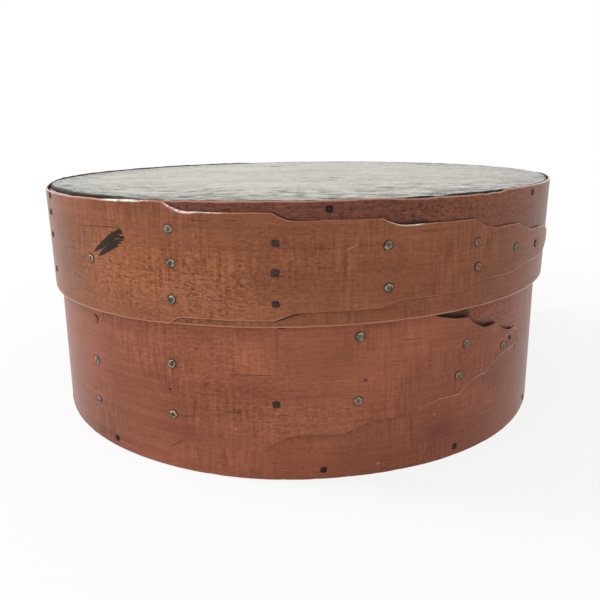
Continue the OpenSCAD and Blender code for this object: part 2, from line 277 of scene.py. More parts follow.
class Strip:
    """One bent band: a strip carried round the axis past a full turn, from its heel to the tip of its tongue.
    Along the strip the angle runs from heel to tip + 360. Its radius climbs by one lap on the way round the
    back, its thickness swells where it is single, and its tongue narrows in scooped steps."""

    # Degrees from thin to full, degrees of the heel that are shaved, the share of thickness left at its end,
    # and the share of width left at the end of the tip
    scarf, heel_shave, heel_edge, tip_end = 90, 8, 0.35, 0.12

    def flare(self, z):
        """Widening towards the foot, none on a plain band."""
        return 0 * z

    def fill(self, angle):
        """How far the layer under the tongue stands out, not at all on a plain band."""
        return 0 * angle

    def shut(self, angle):
        """How tightly the tongue's lower edge lies on the layer under it, nowhere on a plain band."""
        return 0 * angle

    def shadow_dirt_line(self, angle, z):
        """Distance to a dark line of soiling and painted shadow, far off on a plain band."""
        return FAR_OFF + 0 * z

    def inner(self, a, z):
        """Radius of the inner face: one lap higher at the far end of the turn, eased round the back."""
        climb = soft((a - self.tip) / (TURN + self.heel - self.tip))
        return self.in_r + (self.lap_t + self.ply_gap) * climb + hand_bent(a) + self.flare(z)

    def thick(self, a):
        """Thickness: thin in the lap, full round the back, shaved to an edge at the heel."""
        swell = np.minimum(soft((a - self.tip) / self.scarf), soft((TURN + self.heel - a) / self.scarf))
        shave = self.heel_edge + (1 - self.heel_edge) * soft((a - self.heel) / self.heel_shave)
        return (self.lap_t + (self.full_t - self.lap_t) * swell) * shave

    def lap_depth(self):
        """Thickness of the whole lap."""
        return 2 * self.lap_t + self.ply_gap

    def narrowing(self, a, edge):
        """Share of the way from full height to the tip's width, a sum of scooped steps."""
        run = (a[..., None] - TURN - self.tip + self.steps[:, edge]) / self.steps[:, edge + 1]
        return np.sum(self.steps[:, edge + 2] * scoop(run), axis=-1)

    def tip_left(self, a):
        """Share of the width left as the tip rounds off along a quarter ellipse."""
        u = unit((a - TURN - self.tip + self.tip_round) / self.tip_round)
        return self.tip_end + (1 - self.tip_end) * np.sqrt(1 - u * u)

    def top(self, a):
        """Upper edge: the rim less its wear, then the tongue's upper steps."""
        narrow = self.narrowing(a, UPPER)
        z = self.top_z + (self.tip_z + self.tip_half - self.top_z) * narrow
        z = z - self.rim_loss(round_angle(a)) * (1 - soft(narrow / 0.08))
        z = z + EDGE_WANDER * along_line(a / 2.1, 3.3) * soft(narrow / ON_TONGUE)
        return self.tip_z + (z - self.tip_z) * self.tip_left(a)

    def low(self, a):
        """Lower edge: the foot, skewed a little, then the tongue's lower steps."""
        under = self.low_z + self.skew * np.sin(np.radians(a))
        narrow = self.narrowing(a, LOWER)
        z = under + (self.tip_z - self.tip_half - under) * narrow
        z = z + EDGE_WANDER * along_line(a / 2.3, 8.1) * soft(narrow / ON_TONGUE)
        z = z + FOOT_NICKS * unit(along_line(a / 1.7, 12.4, 4)) * (1 - soft(narrow / ON_TONGUE))
        return self.tip_z + (z - self.tip_z) * self.tip_left(a)

    def above_me(self, a):
        """The angle on the tongue that lies over an angle of the layer under it."""
        return np.clip(a, self.heel, self.tip) + TURN

    def filled(self, a, z):
        """How far the layer under the tongue stands out below the tongue's lower edge, or already under the
        edge where that lies shut."""
        bare = unit((self.low(self.above_me(a)) - z) / LIP + 2 * self.shut(a))
        return self.fill(a) * bare * np.where(a < self.tip, 1.0, 0.0)

    def on_lap(self, end, back, share):
        """Angle, height and outer radius of a place on the tongue, counted from the heel or back from the
        tip."""
        angle = self.heel + back if end == "heel" else self.tip - back
        a = np.array([angle + TURN])
        z = self.low(a) + (self.top(a) - self.low(a)) * share
        return angle, float(z[0]), float((self.inner(a, z) + self.thick(a))[0])

    def face(self, angle, z):
        """Outer radius at an angle and height: the tongue where it covers the place, or the layer under
        it."""
        turn = np.array([angle + TURN])
        lapped = angle <= self.tip and self.low(turn)[0] < z < self.top(turn)[0]
        a = turn if angle < self.heel or lapped else np.array([float(angle)])
        return float((self.inner(a, z) + self.thick(a) + self.filled(a, z))[0])


class BoxStrip(Strip):
    """The box band. Its foot flares a little over the base board, and beside the start of the tongue the
    layer under it stands out almost level with it."""

    # Angles of heel and tip, degrees that the tip rounds off over, skew of the foot, and the tip's height and
    # half width
    heel, tip, tip_round, skew, tip_z, tip_half = -51, 51, 4, 0, 41, 4
    steps, lifts, brights = BOX_STEPS, BOX_LIFTS, BOX_GLINT_RUBS
    marks, patches, figure = BOX_MARKS, BOX_PATCHES, BOX_FIGURE
    # A worn corner of the tongue, extra rounding of the rim, rub along the foot, and how widely soiling and
    # painted shade encircle a peg
    bevel, rim_round, foot_rub, peg_ring = None, 0.0, 0.0, 0.33
    # Points up the outside and the inside, degrees between columns, and the height and half height of the
    # board's dirty seat
    rows, pitch, seat = (60, 16), 0.55, (3.0, 4.8)

    def __init__(self, sizes):
        base, band = np.array(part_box("base_board")) * MM, np.array(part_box("box_band")) * MM
        self.in_r, self.low_z, self.top_z = base[1, 0] + sizes.board_gap * MM, band[0, 2], band[1, 2]
        self.full_t, self.lap_t, self.ply_gap = sizes.box_band * MM, sizes.box_lap * MM, sizes.ply_gap * MM
        self.line_skew = sizes.rim_skew * MM
        self.line_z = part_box("lid_band")[0][2] * MM + self.line_skew - SHADOW_LINE_BELOW

    def shadow_dirt_line(self, angle, z):
        """Distance, as from a crease, to the faint dark line at the front just below the lid's edge, partly
        soiling and partly painted shadow of the lid: it grows with the square of the drop from the line, and
        where the line is wiped away."""
        drop = self.line_z + self.line_skew * np.sin(np.radians(angle)) - z
        wiped = 1 - soft((angle + 58) / 14) * soft((50 - angle) / 14)
        return 0.4 + 0.55 * (drop / 1.1) ** 2 + 3 * wiped

    def rim_loss(self, angle):
        """Light wear of the rim under the lid."""
        return 0.18 * unit(0.1 + along_line(angle / 3.1, 31.6, 4))

    def flare(self, z):
        """Widening from the lid's edge down to the foot."""
        return FOOT_FLARE * unit(1 - z / FLARE_FROM)

    def fill(self, angle):
        """How far the layer under the tongue stands out, most at the left."""
        return 1.28 * (1 - soft((angle + 14) / 28))

    def shut(self, angle):
        """How tightly the lower edge of the tongue lies on the layer under it, most beside its start."""
        return soft((-0.8 - angle) / 4)

    def kept(self, angle):
        """How far the upper and lower edge of the tongue have kept their finish, in mm of rub."""
        return 0.4 - 0.5 * soft((angle - 46) / 3), 3 * self.shut(angle) + 0.12

    def clean(self, angle):
        """How much of the width of soiling and painted shade along the upper and lower edge of the tongue is
        gone.
        """
        return 0 * angle, 0.3 * (1 - soft((angle - 6) / 8))


class LidStrip(Strip):
    """The lid band, a little lower at the left, with a chipped rim and a rubbed corner on its tongue. It
    has no flare, line of soiling and painted shadow, or filled layer, and its tongue nowhere lies shut."""

    heel, tip, tip_round, tip_half, tip_rise = -66, 63, 10, 6.3, 19.5
    steps, lifts, brights = LID_STEPS, LID_LIFTS, LID_GLINT_RUBS
    marks, patches, figure = LID_MARKS, LID_PATCHES, LID_FIGURE
    # The bevel is its first and last angle, depth and width
    bevel, rim_round, foot_rub, peg_ring = (-26, -13, 0.45, 2.2), 0.25, 0.3, 0.46
    rows, pitch, seat = (42, 12), 0.45, (98.6, 4.3)

    def __init__(self, sizes):
        board, band = np.array(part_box("lid_board")) * MM, np.array(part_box("lid_band")) * MM
        self.in_r, self.skew = board[1, 0] + sizes.board_gap * MM, sizes.rim_skew * MM
        self.full_t, self.lap_t, self.ply_gap = sizes.lid_band * MM, sizes.lid_lap * MM, sizes.ply_gap * MM
        self.low_z, self.top_z = band[0, 2] + self.skew, band[1, 2]
        self.tip_z = self.low_z + self.tip_rise

    def rim_loss(self, angle):
        """Wear of the rim: it sits low at the left, where the board's edge shows, a long ragged chip is
        gone at the right, deepest where it ends, and round the back it is worn level with the board."""
        left = (0.12 + 1.0 * soft((-15 - angle) / 34)) * soft((12 - angle) / 8) * soft((angle + 92) / 20)
        chip = soft((angle - 15) / 0.8) * soft((39.5 - angle) / 1.2) * (0.45 + 0.01 * (angle - 15))
        ragged = 1 + 0.25 * along_line(angle / 1.3, 1.7, 4)
        back = 0.45 * soft((60 - np.abs(round_angle(angle - 140))) / 10)
        return left + back + chip * ragged + 0.16 * unit(0.25 + along_line(angle / 2.4, 20.2, 4))

    def kept(self, angle):
        """As on the box: the finish is kept right of the bevel above, and in the middle below."""
        lower = soft((angle + 4) / 3) * (1 - soft((angle - 28) / 10))
        return 0.12 * soft((angle + 14) / 6), 0.15 * lower

    def clean(self, angle):
        """As on the box: soiling and painted shade are left in a few places above, and at the left below."""
        upper = 1 - near(angle, -2.5, 4) - near(angle, 18.5, 7)
        return 0.42 * upper, 0.3 * (1 - near(angle, -2, 4) - near(angle, -14, 12))


def section_loop(rows_out, rows_in, corner_steps=3):
    """Closed outline of a strip's section as four weights for each point: outer side or not, share of the
    height, and how far a rounded corner carries it up or down and in or out. Outer points are closer together
    towards the edges."""
    s = np.linspace(0, 1, rows_out)
    out_share = 0.6 * s + 0.4 * (0.5 - 0.5 * np.cos(np.pi * s))
    out_share[[1, -2]] = 0.2 * out_share[1], 1 - 0.2 * out_share[1]
    in_share = np.linspace(1, 0, rows_in)
    turn = np.radians(np.linspace(0, 90, corner_steps + 1))[1:]
    back = turn[::-1]
    flat_out, flat_in, bend = np.zeros(rows_out), np.zeros(rows_in), np.ones(corner_steps)
    side = np.concatenate([flat_out + 1, bend, bend * 0, flat_in, bend * 0, bend])
    share = np.concatenate([out_share, bend, bend, in_share, bend * 0, bend * 0])
    rise = np.concatenate([flat_out, np.sin(turn), np.sin(back), flat_in, -np.sin(turn), -np.sin(back)])
    inset = np.concatenate([flat_out, np.cos(turn) - 1, 1 - np.cos(back),
                            flat_in, 1 - np.cos(turn), np.cos(back) - 1])
    return side, share, rise, inset


def lap_rows(strip, a, share, rows):
    """Shares of the height for the layer under a tongue, moved so that one row lies along each edge of the
    tongue and one a lip outside it, and eased back to even rows past the tip."""
    over, low = strip.above_me(a), strip.low(a)
    tall = strip.top(a) - low
    lower = np.clip((strip.low(over) - low) / tall, 0.03, 1)
    upper = np.clip((strip.top(over) - low) / tall, 0, 0.97)
    lip, shut = LIP / tall, strip.shut(a)
    knots = [0 * a, lower - lip * (1 - shut), lower + lip * shut, upper, upper + lip, 0 * a + 1]
    third = rows // 3
    at = share[[0, third - 1, third, rows - 1 - third, rows - third, rows - 1]]
    weights = np.stack([np.interp(share, at, row) for row in np.eye(6)])
    eased = soft((strip.tip + 10 - a) / 10)[:, None]
    return share + eased * (np.stack(knots, axis=1) @ weights - share)


def pick(values, k):
    """The values that k numbers along the last axis."""
    return np.take_along_axis(values, k[..., None], -1)[..., 0]


def nearest_mark(u, z, marks, radius, reach=2.4):
    """Offset of each point from its nearest mark, along and across it in half lengths and half widths, and
    the mark's tone. Nearest means least distance to the mark's middle line. Past the reach a point is far
    off on the same side, and has no tone."""
    tilt = np.radians(marks[:, 4])
    du = u[..., None] - np.radians(marks[:, 0]) * radius
    dz = z[..., None] - marks[:, 1]
    along = du * np.cos(tilt) + dz * np.sin(tilt)
    across = dz * np.cos(tilt) - du * np.sin(tilt)
    gap = np.hypot(np.maximum(np.abs(along) - marks[:, 2], 0), across)
    k = np.argmin(gap, axis=-1)
    far = pick(gap, k) > reach
    offset = [pick(along / marks[:, 2], k), pick(across / marks[:, 3], k)]
    offset = [np.where(far, np.copysign(FAR_OFF, v), v) for v in offset]
    return np.stack(offset + [np.where(far, 0.0, marks[k, 5])], axis=-1)


def nearest_fixing(u, z, fixings, radius, reach=(2.95, 3.8), far_off=9.0):
    """Offset in mm of each point from its nearest tack, nail or peg, and that one's half width. Past the
    reach sideways or up and down a point is far off on the same side."""
    du = u[..., None] - np.radians(fixings[:, 0]) * radius
    dz = z[..., None] - fixings[:, 1]
    k = np.argmin(du * du + dz * dz, axis=-1)
    du, dz = pick(du, k), pick(dz, k)
    far = (np.abs(du) > reach[0]) | (np.abs(dz) > reach[1])
    offset = [np.where(far, np.copysign(far_off, v), v) for v in (du, dz)]
    return np.stack(offset + [np.where(far, -far_off, fixings[k, 2])], axis=-1)


def spread(theta, z, patches):
    """Sum of soft round patches, each a bell exp(-d²) of its own half angle, half height and strength."""
    middle, height, half_angle, half_height, strength = (patches[:, k][:, None, None] for k in range(5))
    swing, drop = (theta - middle) / half_angle, (z - height) / half_height
    return np.sum(strength * np.exp(-(swing ** 2 + drop ** 2)), axis=0)


def stations(strip):
    """Angles along a strip: even steps, each corner of the tongue, the same corners on the layer under it,
    and close steps round the tip."""
    corners = strip.tip - strip.steps[:, [UPPER, LOWER]].ravel()
    end = TURN + strip.tip
    even = np.arange(strip.heel, end, strip.pitch)
    tip_run = np.linspace(end - strip.tip_round, end, TIP_POINTS)
    a = np.concatenate([even, corners[corners > strip.heel], TURN + corners, tip_run])
    a = np.unique(np.round(a, 2))
    return a[np.concatenate([np.diff(a) > LEAST_STEP, [True]])]


class Bend:
    """Surface of a bent strip. Its rounded section is carried along the strip by angle: one line of points
    round the section, and one row of lines along the strip."""

    def __init__(self, strip, edge_round, fixings):
        self.strip, self.a = strip, stations(strip)
        self.arc = np.radians(self.a) * strip.in_r
        self.column = self.a[:, None]
        self.theta = round_angle(self.column)
        self.side, share, self.rise, self.inset = section_loop(*strip.rows)
        self.share = lap_rows(strip, self.a, share, strip.rows[0])
        self.low, self.top = strip.low(self.a)[:, None], strip.top(self.a)[:, None]
        self.at_rim = 1 - soft(strip.narrowing(self.a, UPPER) / ON_TONGUE)[:, None]
        self.on_tongue = soft(strip.narrowing(self.a, LOWER) / 0.02)[:, None]
        self.tongue = soft((self.column - TURN - strip.heel) / 3)
        self.lapped = soft((self.column - strip.heel + 4) / 4) * soft((strip.tip + 7 - self.column) / 7)
        self.set_heights(edge_round)
        self.u = np.radians(self.theta) * strip.in_r + 0 * self.z
        self.fix = nearest_fixing(self.u, self.z, fixings, strip.in_r)

    def set_heights(self, edge_round):
        """Height of each point between the strip's edges, with outer corners rounded by wear and inner ones
        by a share of the thickness."""
        strip, side = self.strip, self.side
        t, most = strip.thick(self.column), 0.45 * (self.top - self.low)
        worn = edge_round * (1 + 0.3 * along_line(self.a / 4, 0.5))[:, None]
        shut = strip.shut(self.theta) * self.on_tongue
        rim_worn = worn * (0.75 + (0.25 + strip.rim_round) * self.at_rim)
        top_round = np.minimum(np.minimum(0.8 * t, rim_worn), most)
        low_round = np.minimum(np.minimum(0.48 * t, worn * (1 - 0.97 * shut)), most)
        top_round, low_round = (side * v + (1 - side) * 0.18 * t for v in (top_round, low_round))
        self.corner = np.where(self.share > 0.5, top_round, low_round)
        between = self.share * (self.top - self.low - low_round - top_round)
        self.z = self.low + low_round + between + self.rise * self.corner

    def spring(self):
        """Lift of the tongue where an edge has sprung away, growing with the square of the way from the
        middle to that edge, less the bevel. Also keeps how far each edge has sprung."""
        strip, share = self.strip, self.share
        lift, self.sprung, self.hung = 0.0, 0.0, 0.0
        for middle, half, up, down in strip.lifts:
            bump = near(self.theta, middle, half)
            bow = up * unit((share - 0.5) / 0.5) ** 2 + down * unit((0.5 - share) / 0.5) ** 2
            lift = lift + bump * self.tongue * bow
            self.sprung, self.hung = self.sprung + bump * up, self.hung + bump * down
        if strip.bevel:
            start, end, depth, width = strip.bevel
            span = soft((self.theta - start) / 2) * soft((end - self.theta) / 8) * self.tongue
            lift = lift - depth * span * soft(1 - (self.top - self.z) / width) * self.side
        return lift

    def surface(self):
        """Points: the radius is the inner radius plus the share of the thickness, plus sprung edges, hammered
        dimples and slow planing waves, which are weak in the lap."""
        strip, z = self.strip, self.z
        flat = self.column + 0 * z
        run = np.radians(flat) * strip.in_r
        dimple = -0.13 * np.exp(-(self.fix[..., 0] ** 2 + self.fix[..., 1] ** 2) / 11) * self.tongue
        waves = 0.07 * relief(run / 17, z / 30, 2)
        waves = waves + 0.02 * relief(run / 3.5, z / 12, 2)
        thick = strip.thick(self.column) + strip.filled(flat, z)
        r = strip.inner(flat, z) + self.side * thick + self.inset * self.corner + self.spring()
        waves = waves * (1 - np.maximum(0.7 * self.lapped, 0.95 * strip.shut(self.theta)))
        return place(r + self.side * (dimple + waves - 0.05), flat, z)

    def across(self, gap, line):
        """A gap measured up or down to a sloping line, turned into the distance straight across to it."""
        return gap / np.hypot(1, np.gradient(line, self.arc)[:, None])

    def edges(self):
        """Distance from the nearest edge, less where it is rubbed, and the pale rub on it, which carries a
        painted highlight.
        """
        strip, z, at_rim, on_tongue = self.strip, self.z, self.at_rim, self.on_tongue
        kept_up, kept_low = strip.kept(self.theta)
        upper = self.across(self.top - z, strip.top(self.a)) - 0.5 * strip.rim_round * at_rim
        lower = self.across(z - self.low, strip.low(self.a)) + kept_low * on_tongue
        edge = np.minimum(upper + kept_up * (1 - at_rim), lower - strip.foot_rub * (1 - on_tongue))
        edge = np.minimum(edge, (self.arc[-1] - self.arc)[:, None] + 0 * z) - 0.25 * self.sprung * self.tongue
        bright = 0 * z
        # Listed edges are rubbed wider and carry a painted near-white highlight
        for which, middle, half, strength, width in strip.brights:
            in_reach = self.share > 0.5 if which == UPPER else self.share < 0.5
            rubbed = near(self.theta, middle, half) * in_reach
            rubbed = rubbed * np.where(middle > TONGUE_RUBS_FROM, self.tongue, 1)
            bright, edge = bright + strength * rubbed, edge - width * rubbed
        return edge, bright

    def creases(self):
        """On the layer under the tongue, distance from the tongue's edge, less where that has sprung away so
        that the dark crease of soiling and painted shade widens over the gap, and how far a point lies above
        the tongue. Below the lid the crease may be its line of soiling and painted shadow."""
        strip, z, theta = self.strip, self.z, self.theta
        over = strip.above_me(self.a)
        clean_up, clean_low = strip.clean(theta)
        up = self.across(z - strip.top(over)[:, None], strip.top(over))
        down = self.across(strip.low(over)[:, None] - z, strip.low(over))
        past_tip = np.maximum(self.arc - np.radians(strip.tip) * strip.in_r, 0)[:, None]
        down = down + 3 * strip.shut(theta) * (down > -0.3)
        up = np.where(up > 0, up / (1 + 3.5 * self.sprung) + clean_up, up)
        down = np.where(down > 0, down / (1 + 5 * self.hung) + clean_low, down)
        crease = np.maximum(up, down)
        crease = np.where(past_tip > 0, np.hypot(np.maximum(crease, 0), past_tip), crease)
        crease = np.where(self.column < strip.tip + 12, crease, FAR_OFF)
        above = self.lapped * unit(up / 0.3) * (1 - 0.5 * soft((theta - 14) / 16))
        return np.minimum(crease, strip.shadow_dirt_line(theta, z)), above

    def parts(self):
        """Vertices, quads, end faces and attributes of the strip."""
        strip, z, inside = self.strip, self.z, 1 - self.side
        verts = self.surface()
        edge, bright = self.edges()
        crease, above = self.creases()
        seat_z, seat_half = strip.seat
        attributes = {
            "along": np.stack([self.arc[:, None] / MM + 0 * z, z / MM, 0.4 * inside + 0 * z], axis=-1),
            "place": np.stack([self.u, z, 0 * z], axis=-1),
            "edge": edge, "bright": bright, "above": above, "crease": crease, "inside": inside + 0 * z,
            "fix": self.fix, "mark": nearest_mark(self.u, z, strip.marks, strip.in_r),
            "patch": spread(self.theta, z, strip.patches), "figure": spread(self.theta, z, strip.figure),
            "seat": inside * soft(seat_half - np.abs(z - seat_z)),
        }
        index = np.arange(z.size).reshape(z.shape)
        ends = np.stack([index[0, ::-1], index[-1]])
        flat = {key: values.reshape(z.size, -1) for key, values in attributes.items()}
        return verts.reshape(-1, 3), grid_faces(index, True), ends, flat


def grid_faces(index, wrap):
    """Quads between the neighbouring rows of a grid of vertex numbers, closed round its columns if wrap."""
    right = np.roll(index, -1, axis=1) if wrap else index[:, 1:]
    left = index if wrap else index[:, :-1]
    return np.stack([left[:-1], right[:-1], right[1:], left[1:]], axis=-1).reshape(-1, 4)


def closed_rings(rings, poles):
    """Vertices, quads and end fans of a grid of rings that is closed at both ends by a pole."""
    n, m = rings.shape[:2]
    index = np.arange(n * m).reshape(n, m)
    ahead = np.roll(index, -1, axis=1)
    fans = np.concatenate([np.stack([np.full(m, n * m), ahead[0], index[0]], 1),
                           np.stack([np.full(m, n * m + 1), index[-1], ahead[-1]], 1)])
    return np.concatenate([rings.reshape(-1, 3), poles]), grid_faces(index, True), fans


def signed_volume(verts, faces):
    """Six times the volume inside faces that share a number of corners, below 0 if they point inwards."""
    corners = verts[faces]
    first, total = corners[:, 0], 0.0
    for k in range(1, corners.shape[1] - 1):
        total += np.sum(first * np.cross(corners[:, k], corners[:, k + 1]))
    return total


def edge_keys(pairs, count):
    """One number for each pair of vertex numbers, whichever comes first."""
    pairs = np.sort(pairs.astype(np.int64), axis=1)
    return pairs[:, 0] * count + pairs[:, 1]


def lay_mesh(name, verts, quads, others, attributes, material, sharp_ends=False):
    """New object of these vertices in mm and faces, turned so that the faces point outwards, with its place
    in its mesh and a value of each attribute on each vertex."""
    faces = quads.tolist() + others.tolist()
    if signed_volume(verts, quads) + signed_volume(verts, others) < 0:
        faces = [face[::-1] for face in faces]
    mesh = bpy.data.meshes.new(name)
    mesh.from_pydata((verts / MM).tolist(), [], faces)
    mesh.polygons.foreach_set("use_smooth", np.ones(len(faces), bool))
    for key, values in attributes.items():
        flat = np.ascontiguousarray(values, np.float32)
        vector = flat.ndim == 2 and flat.shape[1] == 3
        layer = mesh.attributes.new(key, "FLOAT_VECTOR" if vector else "FLOAT", "POINT")
        layer.data.foreach_set("vector" if vector else "value", flat.ravel())
    if sharp_ends:
        pairs = np.empty(2 * len(mesh.edges), np.int32)
        mesh.edges.foreach_get("vertices", pairs)
        rims = np.stack([others, np.roll(others, -1, axis=1)], axis=-1).reshape(-1, 2)
        sharp = np.isin(edge_keys(pairs.reshape(-1, 2), len(verts)), edge_keys(rims, len(verts)))
        mesh.attributes.new("sharp_edge", "BOOLEAN", "EDGE").data.foreach_set("value", sharp)
    mesh.materials.append(material)
    mesh.validate()
    piece = bpy.data.objects.new(name, mesh)
    bpy.context.scene.collection.objects.link(piece)
    return piece


def hand_over(piece, body, slot, *nodes):
    """Put a finished piece on its body and in place of its CAD nodes. The slot is not used."""
    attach(piece, body)
    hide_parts(*nodes)


def turned_board(reach, profile, around):
    """A round board: its profile of share of the radius and height, from the middle of the top over the
    edge to the middle of the underside, carried round the axis. reach gives the radius by angle."""
    angle = np.arange(around) * TURN / around
    share, height, offset = (profile[1:-1, k][:, None] for k in range(3))
    r = share * reach(angle)[None, :] + offset
    rings = place(r, angle[None, :], height + 0 * r)
    return closed_rings(rings, np.array([(0, 0, profile[0, 1]), (0, 0, profile[-1, 1])]))


def board_profile(low, top, rings, under_rings, edge, chamfer=0.4):
    """Rows of share of radius, height and offset in mm for a board with a rounded upper edge and a small
    chamfer underneath. Rings are closer together towards the edge."""
    turn = np.radians(np.linspace(0, 90, 7))
    upper = [(s, top, -edge * s) for s in np.linspace(0, 1, rings) ** 0.75]
    corner = [(1, top - edge + edge * np.cos(t), -edge + edge * np.sin(t)) for t in turn[1:]]
    side = [(1, low + (top - edge - low) * s, 0) for s in (0.75, 0.5, 0.25, 0.08)]
    lower = [(s, low, -chamfer * s) for s in np.linspace(1, 0, under_rings)]
    return np.array(upper + corner + side + lower)


def carried(path, around, power):
    """A closed rod: an outline, round for power 2 and squarer above it, carried along a path that bends down.
    Each row of the path is half width, half height, y, z and bend in degrees; the first and last are its
    poles."""
    phi = np.radians(np.arange(around) * TURN / around + 180 / around)
    squeeze = (np.abs(np.cos(phi)) ** power + np.abs(np.sin(phi)) ** power) ** (-1 / power)
    c, s = np.cos(phi) * squeeze, np.sin(phi) * squeeze
    half_x, half_y, y, z, bend = (path[1:-1, k][:, None] for k in range(5))
    bend = np.radians(bend)
    rings = np.stack([half_x * c, y + half_y * s * np.cos(bend), z + half_y * s * np.sin(bend)], axis=-1)
    return closed_rings(rings, np.stack([np.zeros(2), path[[0, -1], 2], path[[0, -1], 3]], axis=-1))


def driven_path(half_x, half_y, rise, sunk, crown, shank, depth, clinch, flat):
    """Path of a tack or nail from the middle of its head, over the head's rim, down the shank and over the
    clinched point that lies on the inside of the band."""
    rows = [(0, 0, 0, rise * 0.9, 0)]
    rows += [(half_x * crown * q, half_y * crown * q, 0, rise * (0.9 + 0.1 * q * q), 0)
             for q in (0.25, 0.5, 0.75, 1)]
    rows += [(half_x * q, half_y * q, 0, rise * h - sunk * (1 - h), 0)
             for q, h in ((0.5 + 0.5 * crown, 0.88), (0.97, 0.6), (1, 0.3), (0.98, 0.0))]
    rows += [(shank, shank, 0, -sunk, 0), (shank, shank, 0, -depth, 0)]
    thin = shank * flat
    rows += [(shank, shank * (1 - k) + thin * k, -shank * k, -depth - thin * k, 90 * k) for k in (0.5, 1.0)]
    rows += [(shank * (1 - 0.7 * k), thin * (1 - 0.5 * k),
              -shank - clinch * k, -depth - thin * (1 - 0.6 * k), 90) for k in (0.35, 0.7, 0.95)]
    rows += [(0, 0, -shank - clinch, -depth - thin * 0.4, 90)]
    return np.array(rows)


def peg_path(half, length):
    """Path of a square peg from the slightly dished end that shows to its hidden end."""
    dish = ((0.3, -0.07), (0.6, -0.03), (0.88, 0.04), (0.97, 0.02), (1, -0.06))
    rows = [(0, 0, 0, -0.08, 0)]
    rows += [(half * q, half * q, 0, h, 0) for q, h in dish]
    rows += [(half, half, 0, -length * 0.5, 0), (half * 0.9, half * 0.9, 0, -length, 0)]
    rows += [(0, 0, 0, -length, 0)]
    return np.array(rows)


def set_fixings(spots, path, around, power, rng, spin, tilt, tone=(0, 0)):
    """One rod at each spot of angle, height and radius, each turned and tilted a little at random, with its
    head's outline and dome uneven. Gives the vertices, faces and attributes of them all."""
    verts, quads, fans, rad, each = [], [], [], [], []
    shape, shape_quads, shape_fans = carried(path, around, power)
    count = len(shape)
    reach = np.hypot(shape[:, 0], shape[:, 1])
    around_it = np.arctan2(shape[:, 1], shape[:, 0])
    head = shape[:, 2] > path[-1, 3] * 0.2
    for angle, z, r in spots:
        local = shape.copy()
        phase = rng.uniform(0, 6.28)
        wobble = 1 + 0.05 * np.sin(2 * around_it + phase) + 0.04 * np.sin(5 * around_it + 3 * phase)
        local[head, :2] *= (wobble * (1 + rng.uniform(-0.06, 0.06)))[head, None]
        turn = rng.uniform(-spin, spin)
        c, s = np.cos(turn), np.sin(turn)
        local[head, :2] = local[head, :2] @ np.array([[c, s], [-s, c]])
        local[head, 2] += local[head, :2] @ rng.uniform(-tilt, tilt, 2)
        local[head, 2] += 0.02 * relief(local[head, 0] * 1.6 + phase, local[head, 1] * 1.6, 2)
        t = np.radians(angle)
        axes = np.array([(np.cos(t), np.sin(t), 0), (0, 0, 1), (np.sin(t), -np.cos(t), 0)])
        start = count * len(rad)
        verts.append(local @ axes + place(r, angle, z))
        quads.append(shape_quads + start)
        fans.append(shape_fans + start)
        rad.append(np.where(head, reach / path[:, 0].max(), 1.2))
        each.append(np.full(count, rng.uniform(0, 1)))
    dull, reddened = (np.repeat(np.broadcast_to(v, len(spots)), count).astype(float) for v in tone)
    return np.concatenate(verts), np.concatenate(quads), np.concatenate(fans), {
        "rad": np.concatenate(rad), "each": np.concatenate(each), "dull": dull, "reddened": reddened}


